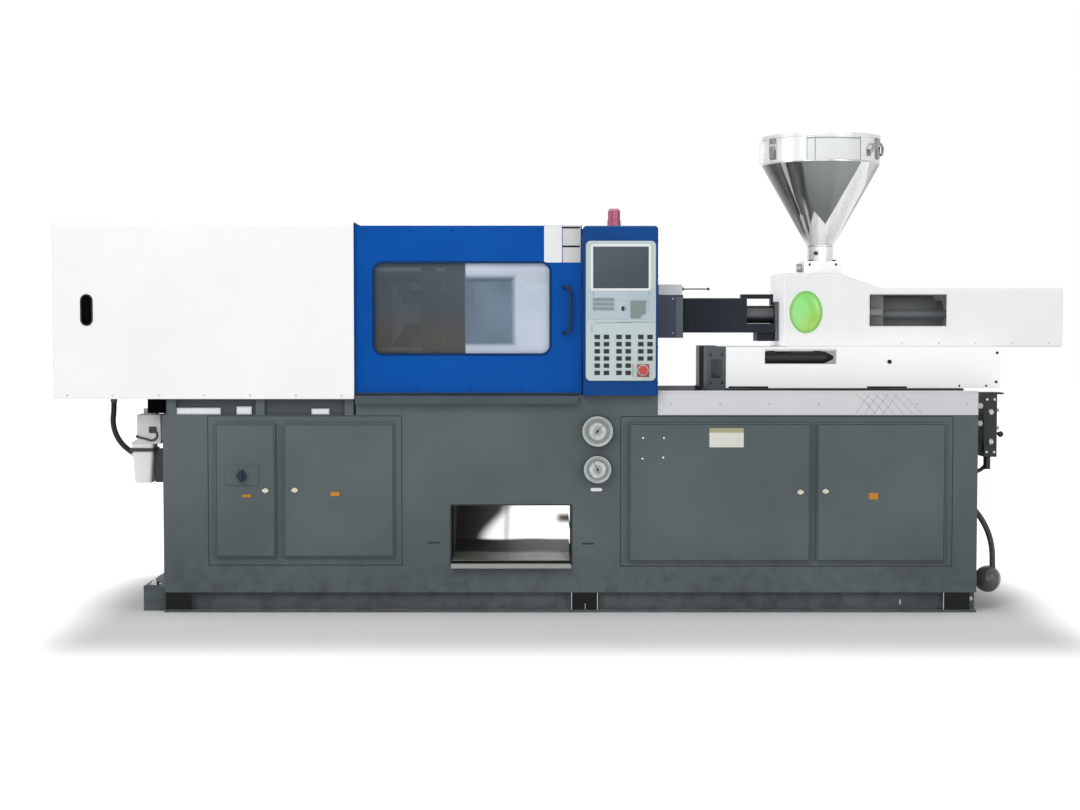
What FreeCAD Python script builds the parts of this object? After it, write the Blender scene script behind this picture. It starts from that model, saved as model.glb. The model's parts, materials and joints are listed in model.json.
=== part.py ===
import FreeCAD, Part
import math
import os
from types import SimpleNamespace

import Sketcher

# A horizontal injection moulding machine with a double toggle clamp.
# Millimetres, +Z up, floor at Z 0, +X towards the injection unit, -Y is the operator side.

os.makedirs("parts", exist_ok=True)
doc = FreeCAD.newDocument("InjectionMouldingMachine")
sheet = doc.addObject("Spreadsheet::Sheet", "Sizes")
nodes = {}
rows = []


# A length that knows its formula in the sheet and its present value.
class Length:
    def __init__(self, formula, value):
        self.formula = formula
        self.value = value

    def __add__(self, other):
        return combine(self, "+", other)

    def __radd__(self, other):
        return combine(other, "+", self)

    def __sub__(self, other):
        return combine(self, "-", other)

    def __rsub__(self, other):
        return combine(other, "-", self)

    def __mul__(self, other):
        return combine(self, "*", other)

    def __rmul__(self, other):
        return combine(other, "*", self)

    def __truediv__(self, other):
        return combine(self, "/", other)

    def __neg__(self):
        return Length("(0 - %s)" % self.formula, -self.value)


def formula(amount):
    return amount.formula if isinstance(amount, Length) else "(%.6f)" % amount


def value(amount):
    return amount.value if isinstance(amount, Length) else float(amount)


def combine(left, sign, right):
    first, second = value(left), value(right)
    results = {"+": first + second, "-": first - second, "*": first * second}
    result = first / second if sign == "/" else results[sign]
    return Length("(%s %s %s)" % (formula(left), sign, formula(right)), result)


def turned(kind, angle):
    result = getattr(math, kind)(math.radians(value(angle)))
    return Length("%s(%s * 1 deg)" % (kind, formula(angle)), result)


def root(amount):
    return Length("sqrt(%s)" % formula(amount), math.sqrt(value(amount)))


def arcsine(amount):
    return Length("(asin(%s) / 1 deg)" % formula(amount), math.degrees(math.asin(value(amount))))


# One group of named sizes: each becomes a cell of the sheet with its alias.
def cells(group, numbers):
    made = {}
    for word, number in numbers.items():
        rows.append(word)
        name = "%s_%s" % (group, word)
        cell = "B%d" % len(rows)
        sheet.set("A%d" % len(rows), name)
        sheet.set(cell, str(number))
        sheet.setAlias(cell, name)
        made[word] = Length("Sizes.%s" % name, float(number))
    return SimpleNamespace(**made)


# Heights that the sheet keeps as distances over a level, such as the bed's top.
def stand_on(level, group, *words):
    for word in words:
        setattr(group, word, level + getattr(group, word))


def bind(thing, **amounts):
    for name, amount in amounts.items():
        thing.setExpression(name, formula(amount))


def move(thing, x=0, y=0, z=0):
    for letter, amount in zip("xyz", (x, y, z)):
        thing.setExpression("Placement.Base.%s" % letter, formula(amount))
    return thing


def block(x, y, z):
    made = doc.addObject("Part::Box", "Block")
    bind(made, Length=x[1] - x[0], Width=y[1] - y[0], Height=z[1] - z[0])
    return move(made, x[0], y[0], z[0])


turns = {
    "X": FreeCAD.Rotation(FreeCAD.Vector(0, 1, 0), 90),
    "Y": FreeCAD.Rotation(FreeCAD.Vector(1, 0, 0), -90),
    "Z": FreeCAD.Rotation(),
}


# A round bar along an axis: span is its two ends, centre the other two coordinates in XYZ order.
def rod(axis, span, centre, radius, end_radius=None):
    made = doc.addObject("Part::Cone" if end_radius is not None else "Part::Cylinder", "Rod")
    made.Placement = FreeCAD.Placement(FreeCAD.Vector(), turns[axis])
    bind(made, Height=span[1] - span[0])
    if end_radius is None:
        bind(made, Radius=radius)
    else:
        bind(made, Radius1=radius, Radius2=end_radius)
    first, second = centre
    places = {"X": (span[0], first, second), "Y": (first, span[0], second),
              "Z": (first, second, span[0])}
    return move(made, *places[axis])


def ball(x, y, z, radius):
    made = doc.addObject("Part::Sphere", "Ball")
    bind(made, Radius=radius)
    return move(made, x, y, z)


def join(*pieces):
    made = doc.addObject("Part::MultiFuse", "Joined")
    made.Shapes = list(pieces)
    made.Refine = True
    return made


def together(*pieces):
    made = doc.addObject("Part::Compound", "Group")
    made.Links = list(pieces)
    return made


def cut(base, *tools):
    made = doc.addObject("Part::Cut", "Cut")
    made.Base = base
    made.Tool = tools[0] if len(tools) == 1 else join(*tools)
    made.Refine = True
    return made


# The share of a shape that lies inside a block.
def within(thing, room):
    made = doc.addObject("Part::Common", "Share")
    made.Base = thing
    made.Tool = room
    made.Refine = True
    return made


def mirror(thing, across="Y"):
    made = doc.addObject("Part::Mirroring", "Mirrored")
    made.Source = thing
    made.Normal = FreeCAD.Vector(*[1.0 if letter == across else 0.0 for letter in "XYZ"])
    return made


# A closed outline of straight edges, each corner held by two dimensions from the sheet.
def outline(body, plane, corners):
    sketch = body.newObject("Sketcher::SketchObject", "Outline")
    origin = [item for item in body.Origin.OriginFeatures if item.Role == plane + "_Plane"]
    sketch.AttachmentSupport = [(origin[0], "")]
    sketch.MapMode = "FlatFace"
    points = [FreeCAD.Vector(value(across), value(up), 0) for across, up in corners]
    for index, point in enumerate(points):
        sketch.addGeometry(Part.LineSegment(point, points[(index + 1) % len(points)]), False)
    for index in range(len(points)):
        sketch.addConstraint(Sketcher.Constraint("Coincident", index, 2, (index + 1) % len(points), 1))
    for index, (across, up) in enumerate(corners):
        for kind, amount in (("DistanceX", across), ("DistanceY", up)):
            fixed = Sketcher.Constraint(kind, -1, 1, index, 1, value(amount))
            number = sketch.addConstraint(fixed)
            sketch.setExpression("Constraints[%d]" % number, formula(amount))
    return sketch


def ring_outline(body, plane, centre, radius):
    sketch = body.newObject("Sketcher::SketchObject", "Circle")
    origin = [item for item in body.Origin.OriginFeatures if item.Role == plane + "_Plane"]
    sketch.AttachmentSupport = [(origin[0], "")]
    sketch.MapMode = "FlatFace"
    middle = FreeCAD.Vector(value(centre[0]), value(centre[1]), 0)
    sketch.addGeometry(Part.Circle(middle, FreeCAD.Vector(0, 0, 1), value(radius)), False)
    limits = (("DistanceX", centre[0]), ("DistanceY", centre[1]))
    for kind, amount in limits:
        number = sketch.addConstraint(Sketcher.Constraint(kind, -1, 1, 0, 3, value(amount)))
        sketch.setExpression("Constraints[%d]" % number, formula(amount))
    number = sketch.addConstraint(Sketcher.Constraint("Radius", 0, value(radius)))
    sketch.setExpression("Constraints[%d]" % number, formula(radius))
    return sketch


# A padded outline. XY pads rise in +Z, XZ pads grow in -Y and YZ pads grow in +X from the place.
def pad(plane, corners, depth, x=0, y=0, z=0):
    body = doc.addObject("PartDesign::Body", "Body")
    feature = body.newObject("PartDesign::Pad", "Pad")
    feature.Profile = outline(body, plane, corners)
    bind(feature, Length=depth)
    move(body, x, y, z)
    doc.recompute()
    return body


def pocket(body, plane, corners, depth, start=0):
    feature = body.newObject("PartDesign::Pocket", "Pocket")
    sketch = outline(body, plane, corners) if len(corners) > 2 else ring_outline(body, plane, *corners)
    sketch.setExpression("AttachmentOffset.Base.z", formula(start))
    feature.Profile = sketch
    feature.Reversed = True
    bind(feature, Length=depth)
    doc.recompute()
    return body


# Rounds the edges of a body that pass a test on their middle point and direction, in body axes.
def soften(body, radius, wanted):
    base = body.Tip
    chosen = []
    for number, edge in enumerate(base.Shape.Edges):
        middle = edge.valueAt((edge.FirstParameter + edge.LastParameter) / 2)
        along = edge.Vertexes[-1].Point - edge.Vertexes[0].Point
        if along.Length > 0 and wanted(middle, along.normalize()):
            chosen.append("Edge%d" % (number + 1))
    feature = body.newObject("PartDesign::Fillet", "Fillet")
    feature.Base = (base, chosen)
    bind(feature, Radius=radius)
    doc.recompute()
    return body


def spin(corners, x=0, y=0, z=0):
    body = doc.addObject("PartDesign::Body", "Body")
    feature = body.newObject("PartDesign::Revolution", "Revolution")
    feature.Profile = outline(body, "XZ", corners)
    feature.ReferenceAxis = (feature.Profile[0], ["V_Axis"])
    feature.Angle = 360
    move(body, x, y, z)
    doc.recompute()
    return body


def box_corners(across, up):
    return [(across[0], up[0]), (across[1], up[0]), (across[1], up[1]), (across[0], up[1])]


def both(amount):
    return (-amount, amount)


def lane(side, inner, outer):
    return (inner, outer) if side > 0 else (-outer, -inner)


def node(name, thing):
    thing.Label = name
    nodes[name] = thing
    return thing


gap_sizes = {
    "run": 0.3, "door": 0.5,
}
gap = cells("gap", gap_sizes)

# Bed: a welded sheet box on two channels, with ways for the platens and rails for the carriage.
bed_sizes = {
    "left": -1820, "right": 1855, "half": 500, "skid": 103, "top": 895, "sheet": 12, "web": 40,
    "flange": 12, "foot_left": -1924, "foot_half": 450, "foot_top": 113, "anchor_half": 400,
    "channel": 100, "gusset": 120, "gusset_left": 6, "gusset_middle": 1842, "gusset_right": 3526,
    "anchor_bore": 11,
}
bed = cells("bed", bed_sizes)
room_sizes = {
    "left_end": -700, "right_start": 200,
}
room = cells("room", room_sizes)
apron_sizes = {
    "left": -948, "right": 411, "top": 90,
}
apron = cells("apron", apron_sizes)
stand_on(bed.top, apron, "top")
# Double toggle: its open knees clear the ways, which sets the height of the machine's axis.
toggle_sizes = {
    "link": 270, "pivot": 80, "reach": 73, "open_angle": 56.82, "lug_along": 140, "lug_off": 12,
    "arm": 185, "arm_pin_z": 25, "pin": 18, "arm_pin": 14, "slack": 24, "arm_slack": 13,
    "half_width": 30, "inner": 45, "middle": 92, "outer": 118, "side_gap": 2, "eye": 4,
    "knee_clear": 25.02, "head": 30, "head_rise": 45, "piston": 40,
}
toggle = cells("toggle", toggle_sizes)
knee_rise = toggle.pivot + toggle.link * turned("sin", toggle.open_angle)
axis = SimpleNamespace(height=apron.top + knee_rise + toggle.half_width + toggle.eye + toggle.knee_clear)
way_sizes = {
    "left": -1290, "right": 350, "inner": 200, "outer": 280,
}
way = cells("way", way_sizes)
rail_sizes = {
    "left": 640, "right": 1850, "top": 110, "inner": 180, "outer": 240,
}
rail = cells("rail", rail_sizes)
stand_on(bed.top, rail, "top")
drop_sizes = {
    "left": -520, "right": 21, "half": 190, "low": 218, "high": 486,
}
drop = cells("drop", drop_sizes)
leaf_sizes = {
    "small_left": -1582, "small_right": -1311, "large_left": -1275, "large_right": -777, "low": 252,
    "high": -38, "left": 281, "middle_left": 1100, "middle_right": 1127, "right": 1707,
    "service_low": 233, "service_high": -36, "lap": 16, "thick": 18,
}
leaf = cells("leaf", leaf_sizes)
stand_on(bed.top, leaf, "high", "service_high")
cover_sizes = {
    "left": -2302.5, "right": -953, "half": 530, "low": -17, "high": 412, "sheet": 4, "corner": 18,
    "slot_x": -2150, "slot_z": 17, "slot_wide": 49, "slot_high": 135,
}
cover = cells("cover", cover_sizes)
stand_on(apron.top, cover, "low")
stand_on(axis.height, cover, "high", "slot_z")
bar_sizes = {
    "thick": 17, "wide": 40, "left": -2290, "cross": -2074, "post": 40, "gland_x": -2074,
    "gland_radius": 15, "gland_y": -350, "gland_long": 22, "post_left": -1800, "post_middle": -1400,
    "post_right": -1000, "post_deep": 20,
}
bar = cells("bar", bar_sizes)


def channel(side):
    edge, low, high = side * bed.half, 0, bed.skid
    back, face = side * (bed.half - bed.channel), side * (bed.half - bed.web)
    corners = [(edge, low), (back, low), (back, high), (edge, high), (edge, high - bed.flange),
               (face, high - bed.flange), (face, low + bed.flange), (edge, low + bed.flange)]
    beam = pad("YZ", corners, bed.right - bed.left, x=bed.left)
    gussets = [block((bed.left + start, bed.left + start + bed.gusset),
                     lane(side, bed.half - bed.web - 1, bed.half - 3),
                     (bed.flange, bed.skid - bed.flange))
               for start in (bed.gusset_left, bed.gusset_middle, bed.gusset_right)]
    return join(beam, *gussets)


# The box is welded from plates that meet edge to face: floor, top, rear, two ends and two partitions.
# Its front is a frame of posts with a sill and a head plate between them round each door and the chute.
def bed_plates():
    long = (bed.left, bed.right)
    front = (-bed.half, bed.sheet - bed.half)
    height = (bed.skid + bed.sheet, bed.top - bed.sheet)
    across = both(bed.half - bed.sheet)
    well = block((drop.left, drop.right), both(drop.half), (bed.top - bed.sheet - 1, bed.top + 1))
    plates = [cut(block(long, both(bed.half), (bed.top - bed.sheet, bed.top)), well),
              block(long, both(bed.half), (bed.skid, bed.skid + bed.sheet)),
              block(long, (bed.half - bed.sheet, bed.half), height)]
    windows = [(left + leaf.lap, right - leaf.lap, low + leaf.lap, high - leaf.lap)
               for left, right, low, high in leaf_places().values()]
    windows.insert(2, (drop.left, drop.right, drop.low, drop.high))
    edge = bed.left
    for left, right, low, high in windows:
        plates.append(block((edge, left), front, height))
        plates.append(block((left, right), front, (height[0], low)))
        plates.append(block((left, right), front, (high, height[1])))
        edge = right
    plates.append(block((edge, bed.right), front, height))
    for start in (bed.left, room.left_end, room.right_start, bed.right - bed.sheet):
        plates.append(block((start, start + bed.sheet), across, height))
    return plates


# Left foot plate with a bore for an anchor at each side.
def levelling_foot():
    middle = (bed.foot_left + bed.left) / 2
    bores = [rod("Z", (-1, bed.foot_top + 1), (middle, side * bed.anchor_half), bed.anchor_bore)
             for side in (-1, 1)]
    return cut(block((bed.foot_left, bed.left), both(bed.foot_half), (0, bed.foot_top)), *bores)


# Bars under the rim of the clamp cover, on posts that stand on the bed, and the gland of the grease hose.
def cover_bars():
    outer = cover.half - cover.sheet
    level = (apron.top - bar.thick, apron.top)
    pieces = []
    for side in (-1, 1):
        pieces.append(block((bar.left, cover.right - 2), lane(side, outer - bar.wide, outer), level))
        for start in (bar.post_left, bar.post_middle, bar.post_right):
            pieces.append(block((start, start + bar.post),
                                lane(side, bed.half - bar.post_deep, bed.half),
                                (bed.top, apron.top - bar.thick)))
    for start in (bar.left, bar.cross - bar.wide / 2):
        pieces.append(block((start, start + bar.wide), both(outer - bar.wide), level))
    pieces.append(rod("Z", (level[0] - bar.gland_long, level[0]), (bar.gland_x, bar.gland_y),
                      bar.gland_radius))
    return pieces


def bed_frame():
    pieces = [channel(1), channel(-1), levelling_foot()] + bed_plates() + cover_bars() + carriage_foot()
    for side in (-1, 1):
        pieces.append(block((apron.left, apron.right), lane(side, bed.half - bed.sheet, bed.half),
                            (bed.top, apron.top)))
        pieces.append(block((way.left, way.right), lane(side, way.inner, way.outer),
                            (bed.top, apron.top)))
        pieces.append(block((rail.left, rail.right), lane(side, rail.inner, rail.outer),
                            (bed.top, rail.top)))
    return node("bed_frame", together(*pieces))


def leaf_places():
    return {
        "cabinet_door_small": (leaf.small_left, leaf.small_right, leaf.low, leaf.high),
        "cabinet_door_large": (leaf.large_left, leaf.large_right, leaf.low, leaf.high),
        "service_door_left": (leaf.left, leaf.middle_left, leaf.service_low, leaf.service_high),
        "service_door_right": (leaf.middle_right, leaf.right, leaf.service_low, leaf.service_high),
    }


# Light sheet band round the injection end of the bed: front, right end and rear in one bent sheet.
band_sizes = {
    "left": 411.5, "top": 99, "sheet": 4,
}
band = cells("band", band_sizes)
stand_on(bed.top, band, "top")


def bed_side_panel():
    outer = block((band.left, bed.right), both(bed.half), (bed.top, band.top))
    inner = block((band.left - 1, bed.right - band.sheet), both(bed.half - band.sheet),
                  (bed.top - 1, band.top + 1))
    return node("bed_side_panel", cut(outer, inner))


# Doors of the bed: folded pans hung on vertical hinges, each with a quarter turn latch.
latch_sizes = {
    "wide": 27, "high": 12, "stem": 7, "thick": 8,
}
latch = cells("latch", latch_sizes)
latch_places = {
    "small_door_latch": ("cabinet_door_small", -1356, 555),
    "large_door_latch": ("cabinet_door_large", -1224, 557),
    "left_service_latch": ("service_door_left", 1053, 548),
    "right_service_latch": ("service_door_right", 1166, 552),
}
switch_sizes = {
    "x": -1460, "z": 623, "plate_wide": 145, "plate_high": 85, "plate_thick": 6, "radius": 20,
    "reach": 28,
}
switch = cells("switch", switch_sizes)


def bed_doors():
    front = -(bed.half + gap.door)
    for name, (left, right, low, high) in leaf_places().items():
        body = pad("XZ", box_corners((0, right - left), (0, high - low)), leaf.thick, x=left, y=front,
                   z=low)
        soften(body, 3, lambda middle, along: middle.y < -(leaf.thick.value - 1) and abs(along.y) < 0.1)
        rim = leaf.lap + 4
        inside = box_corners((rim, right - left - rim), (rim, high - low - rim))
        pocket(body, "XZ", inside, leaf.thick - 2)
        holes = [rod("Y", (front - leaf.thick - 1, front + 1), (x, z), latch.stem + gap.run)
                 for owner, x, z in latch_places.values() if owner == name]
        if name == "cabinet_door_small":
            holes.append(rod("Y", (front - leaf.thick - 1, front + 1), (switch.x, switch.z),
                             8 + gap.run))
        leaf_body = cut(body, *holes)
        if name == "cabinet_door_small":
            plate = block((switch.x - switch.plate_wide / 2, switch.x + switch.plate_wide / 2),
                          (front - leaf.thick - switch.plate_thick, front - leaf.thick),
                          (switch.z - switch.plate_high / 2, switch.z + switch.plate_high / 2))
            bore = rod("Y", (front - leaf.thick - switch.plate_thick - 1, front), (switch.x, switch.z),
                       8 + gap.run)
            leaf_body = join(leaf_body, cut(plate, bore))
        node(name, leaf_body)
    face = front - leaf.thick
    for name, (owner, x, z) in latch_places.items():
        stem = rod("Y", (face - gap.run, front + 6), (x, z), latch.stem)
        grip = block((x - latch.wide / 2, x + latch.wide / 2),
                     (face - gap.run - latch.thick, face - gap.run),
                     (z - latch.high / 2, z + latch.high / 2))
        hub = rod("Y", (face - gap.run - latch.thick / 2, face - gap.run), (x, z), latch.stem + 4)
        node(name, join(stem, grip, hub))
    outer = face - switch.plate_thick - gap.run
    knob = rod("Y", (outer - switch.reach, outer), (switch.x, switch.z), switch.radius)
    wing = block((switch.x - 6, switch.x + 6), (outer - switch.reach - 14, outer - 1),
                 (switch.z - switch.radius - 6, switch.z + switch.radius + 6))
    stem = rod("Y", (outer, front), (switch.x, switch.z), 8)
    node("main_switch", join(knob, wing, stem))


# Clamp cover: a bent sheet hood over the toggle, open below and at the mould.
def clamp_cover():
    body = pad("YZ", box_corners(both(cover.half), (cover.low, cover.high)), cover.right - cover.left,
               x=cover.left)
    soften(body, cover.corner,
           lambda middle, along: middle.z > cover.high.value - 1 and abs(along.x) > 0.9)
    soften(body, cover.corner / 2,
           lambda middle, along: middle.x < 1 and middle.z > cover.low.value + 2)
    inside = pad("YZ", box_corners(both(cover.half - cover.sheet),
                                   (cover.low - 1, cover.high - cover.sheet)),
                 cover.right - cover.left, x=cover.left + cover.sheet)
    soften(inside, cover.corner - cover.sheet,
           lambda middle, along: middle.z > cover.low.value + 2 and abs(along.x) > 0.9)
    wall = (-cover.half - 1, 1 - cover.half + cover.sheet)
    half = cover.slot_wide / 2
    rise = cover.slot_high / 2 - half
    slot = [block((cover.slot_x - half, cover.slot_x + half), wall,
                  (cover.slot_z - rise, cover.slot_z + rise))]
    slot += [rod("Y", wall, (cover.slot_x, cover.slot_z + side * rise), half) for side in (-1, 1)]
    return node("clamp_cover", cut(body, inside, *slot))


# Mould guard doors, front and rear, sliding into the clamp cover on a sill and an upper bar.
door_sizes = {
    "left": -965, "right": 68, "thick": 20, "face": 505, "top": 395, "window_left": -866,
    "window_right": -74.5, "window_low": -180, "window_high": 229, "window_corner": 40, "pane": 6,
    "rim": 14,
}
door = cells("door", door_sizes)
stand_on(axis.height, door, "top", "window_low", "window_high")
grip_sizes = {
    "left": -20, "right": 24, "low": -94, "high": 128, "stand": 34, "thick": 14,
}
grip = cells("grip", grip_sizes)
stand_on(axis.height, grip, "low", "high")
sill_sizes = {
    "right": 50, "low": -39, "high": -3, "reach": 45,
}
sill = cells("sill", sill_sizes)
stand_on(apron.top, sill, "low", "high")
guide_sizes = {
    "low": 350, "high": 382, "wide": 24,
}
guide = cells("guide", guide_sizes)
stand_on(axis.height, guide, "low", "high")


def door_panel(side):
    inner = door.face - door.thick
    body = pad("XZ", box_corners((0, door.right - door.left), (0, door.top - apron.top - gap.run)),
               door.thick,
               x=door.left, y=0 - inner, z=apron.top + gap.run)
    across = (door.window_left - door.left, door.window_right - door.left)
    rise = (door.window_low - apron.top, door.window_high - apron.top)
    pocket(body, "XZ", box_corners(across, rise), door.thick)
    soften(body, door.window_corner,
           lambda middle, along: abs(along.y) > 0.9 and across[0].value - 1 < middle.x < across[1].value + 1
           and rise[0].value - 1 < middle.z < rise[1].value + 1)
    step = both(door.rim)
    recess = pocket(body, "XZ", box_corners((across[0] + step[0], across[1] + step[1]),
                                            (rise[0] + step[0], rise[1] + step[1])),
                                            door.pane + gap.run)
    soften(recess, door.window_corner,
           lambda middle, along: abs(along.y) > 0.9 and middle.y > -door.pane.value
           and across[0].value - 20 < middle.x < across[1].value + 20)
    return body if side < 0 else mirror(body)


def door_window(side):
    inner = door.face - door.thick
    width = door.window_right - door.window_left + door.rim * 2
    height = door.window_high - door.window_low + door.rim * 2
    body = pad("XZ", box_corners((0, width), (0, height)), door.pane, x=door.window_left - door.rim,
               y=0 - inner, z=door.window_low - door.rim + gap.run)
    soften(body, door.window_corner, lambda middle, along: abs(along.y) > 0.9)
    return body if side < 0 else mirror(body)


def mould_doors():
    node("front_door_panel", door_panel(-1))
    node("rear_door_panel", door_panel(1))
    node("front_door_window", door_window(-1))
    node("rear_door_window", door_window(1))
    face = -door.face
    corners = [(0, 0), (grip.stand, 0), (grip.stand, grip.high - grip.low), (0, grip.high - grip.low),
               (0, grip.high - grip.low - grip.thick),
               (grip.stand - grip.thick, grip.high - grip.low - grip.thick),
               (grip.stand - grip.thick, grip.thick), (0, grip.thick)]
    corners = [(0 - across, up) for across, up in corners]
    bow = pad("YZ", corners, grip.right - grip.left, x=grip.left, y=face, z=grip.low)
    soften(bow, 5, lambda middle, along: middle.y < 1 - grip.stand.value and abs(along.x) > 0.9)
    node("front_door_handle", bow)


def door_rails():
    rails = []
    back = door.face - door.thick - gap.run
    for side in (-1, 1):
        rails.append(block((apron.left, sill.right), lane(side, bed.half, bed.half + sill.reach),
                           (sill.low, sill.high)))
        rails.append(block((cover.left + cover.sheet, column.left), lane(side, back - guide.wide, back),
                           (guide.low, guide.high)))
    return node("door_rails", together(*rails))


# Control column: a portal over the fixed platen that carries the operating panel and the lamp.
column_sizes = {
    "left": 72, "right": 408, "half": 560, "top": 392, "tunnel": 290, "tunnel_top": 290,
    "corner": 16,
}
column = cells("column", column_sizes)
stand_on(axis.height, column, "top", "tunnel_top")
bezel_sizes = {
    "left": 84.6, "right": 396.8, "low": -299, "high": 324, "thick": 15, "corner": 22,
}
bezel = cells("bezel", bezel_sizes)
stand_on(axis.height, bezel, "low", "high")
screen_sizes = {
    "left": 117, "right": 364, "low": 113, "high": 298, "deep": 5, "thick": 4,
}
screen = cells("screen", screen_sizes)
stand_on(axis.height, screen, "low", "high")
key_sizes = {
    "wide": 24, "high": 19, "thick": 2.5, "first": 51, "pair": 97, "pitch": 40.8, "top_row": 196,
    "row": 32, "bar_left": 31.4, "bar_right": 125.4, "short_left": 215.4, "short_right": 283.4,
    "bar_low": 315, "bar_step": 20, "bar_high": 14, "dot": 11, "dot_x": 168.4, "dot_z": 322,
}
key = cells("key", key_sizes)
stop_sizes = {
    "x": 339, "z": 48, "collar": 25, "collar_thick": 10, "head": 20, "head_thick": 14, "stem": 8,
    "travel": 4,
}
stop = cells("stop", stop_sizes)
stand_on(bezel.low, stop, "z")
lamp_sizes = {
    "x": 220.5, "y": -300, "radius": 31.5, "base": 42, "lens": 51,
}
lamp = cells("lamp", lamp_sizes)


def control_column():
    outside = [(-column.half, 0), (0 - column.tunnel, 0),
               (0 - column.tunnel, column.tunnel_top - apron.top),
               (column.tunnel, column.tunnel_top - apron.top), (column.tunnel, 0), (column.half, 0),
               (column.half, column.top - apron.top), (0 - column.half, column.top - apron.top)]
    body = pad("YZ", outside, column.right - column.left, x=column.left, z=apron.top)
    soften(body, column.corner,
           lambda middle, along: abs(middle.y) > column.half.value - 1 and middle.z > 1
           or middle.z > column.top.value - apron.top.value - 1)
    lug = (guard.left + guard.knuckle + 4, guard.left + guard.knuckle + 4 + guard.lug)
    shelf = (guard.hinge_z - 8, guard.hinge_z + 8)
    arm = block((column.right, lug[1]), (guard.hinge_y + guard.eye + 5, column.tunnel + 40), shelf)
    tongue = block(lug, (guard.hinge_y - 4, column.tunnel + 40), shelf)
    pin = rod("X", (guard.left + 2, lug[0] + 2), (guard.hinge_y, guard.hinge_z), guard.pin)
    return node("control_column", join(body, arm, tongue, pin))


def operating_panel():
    face = 0 - column.half
    body = pad("XZ", box_corners((0, bezel.right - bezel.left), (0, bezel.high - bezel.low)),
               bezel.thick,
               x=bezel.left, y=face, z=bezel.low)
    soften(body, bezel.corner, lambda middle, along: abs(along.y) > 0.9)
    soften(body, 5, lambda middle, along: middle.y < 1 - bezel.thick.value)
    glass = box_corners((screen.left - bezel.left, screen.right - bezel.left),
                        (screen.low - bezel.low, screen.high - bezel.low))
    pocket(body, "XZ", glass, screen.deep, start=bezel.thick - screen.deep)
    front = face - bezel.thick
    bore = rod("Y", (front - 1, face + 1), (stop.x, stop.z), stop.stem + gap.run)
    collar = cut(rod("Y", (front - stop.collar_thick, front), (stop.x, stop.z), stop.collar),
                 rod("Y", (front - stop.collar_thick - 1, front + 1), (stop.x, stop.z),
                     stop.stem + gap.run))
    node("panel_bezel", join(cut(body, bore), collar))
    pane = block((screen.left, screen.right), (front + screen.deep - screen.thick, front + screen.deep),
                 (screen.low, screen.high))
    node("panel_screen", pane)
    skin = (front - key.thick, front)
    keys = []
    for place in range(36):
        pair, second, row_index = place // 12, place // 6 % 2, place % 6
        if pair == 2 and row_index > 3:
            continue
        x = bezel.left + key.first + key.pair * pair + key.pitch * second
        z = bezel.low + key.top_row - key.row * row_index
        keys.append(block((x - key.wide / 2, x + key.wide / 2), skin,
                          (z - key.high / 2, z + key.high / 2)))
    for left, right in ((key.bar_left, key.bar_right), (key.short_left, key.short_right)):
        for step in range(3):
            low = bezel.low + key.bar_low + key.bar_step * step
            keys.append(block((bezel.left + left, bezel.left + right), skin, (low, low + key.bar_high)))
    keys.append(rod("Y", skin, (bezel.left + key.dot_x, bezel.low + key.dot_z), key.dot))
    node("panel_keys", together(*keys))
    outer = front - stop.collar_thick - stop.travel - gap.run
    head = rod("Y", (outer - stop.head_thick, outer), (stop.x, stop.z), stop.head)
    stem = rod("Y", (outer, face - stop.travel - gap.run), (stop.x, stop.z), stop.stem)
    node("estop_button", join(head, stem))


def beacon():
    bottom = column.top
    lens_top = lamp.base + lamp.lens
    corners = [(0, 0), (lamp.radius, 0), (lamp.radius, lamp.base - 6), (lamp.radius - 3, lamp.base),
               (lamp.radius - 3, lens_top - 12), (lamp.radius - 12, lens_top - 2), (0, lens_top)]
    return node("beacon", spin(corners, lamp.x, lamp.y, bottom))


# Purge guard: a hinged sheet hood over the nozzle, notched for the barrel.
guard_sizes = {
    "left": 4, "right": 548, "half": 200, "low": -110, "high": 91, "sheet": 3, "knuckle": 34,
    "hinge_y": 208, "hinge_z": 82, "pin": 5, "eye": 11, "lug": 6, "lug_room": 15, "notch": 62,
    "rear_low": -88,
}
guard = cells("guard", guard_sizes)
guard.left = column.right + guard.left
stand_on(axis.height, guard, "low", "high", "hinge_z", "rear_low")


def purge_guard():
    top, bottom = guard.high - guard.hinge_z, guard.low - guard.hinge_z
    profile = [(0 - guard.half - guard.hinge_y, bottom), (guard.half - guard.hinge_y, bottom),
               (guard.half - guard.hinge_y, top), (0 - guard.half - guard.hinge_y, top)]
    body = pad("YZ", profile, guard.right - guard.left, x=guard.left, y=guard.hinge_y, z=guard.hinge_z)
    soften(body, 10, lambda middle, along: abs(along.x) > 0.9 and middle.y < -300 and middle.z > 0)
    inside = [(0 - guard.half - guard.hinge_y + guard.sheet, bottom - 1),
              (guard.half - guard.hinge_y - guard.sheet, bottom - 1),
              (guard.half - guard.hinge_y - guard.sheet, top - guard.sheet),
              (0 - guard.half - guard.hinge_y + guard.sheet, top - guard.sheet)]
    pocket(body, "YZ", inside, guard.right - guard.left - guard.sheet)
    wall = (guard.right - guard.sheet - 1, guard.right + 1)
    lug_wall = (guard.left + guard.knuckle + 1, guard.left + guard.knuckle + guard.lug + 7)
    notch = [block(wall, (0 - guard.notch, guard.half + 1), (guard.low - 1, axis.height + guard.notch)),
             block((guard.left - 1, guard.right + 1), (0, guard.half + 1),
                   (guard.low - 1, guard.rear_low)),
             rod("X", lug_wall, (guard.hinge_y, guard.hinge_z), guard.lug_room)]
    knuckle = cut(rod("X", (guard.left, guard.left + guard.knuckle), (guard.hinge_y, guard.hinge_z),
                      guard.eye),
                  rod("X", (guard.left - 1, guard.left + guard.knuckle + 1),
                      (guard.hinge_y, guard.hinge_z),
                      guard.pin + gap.run))
    return node("purge_guard", join(cut(body, *notch), knuckle))


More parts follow.
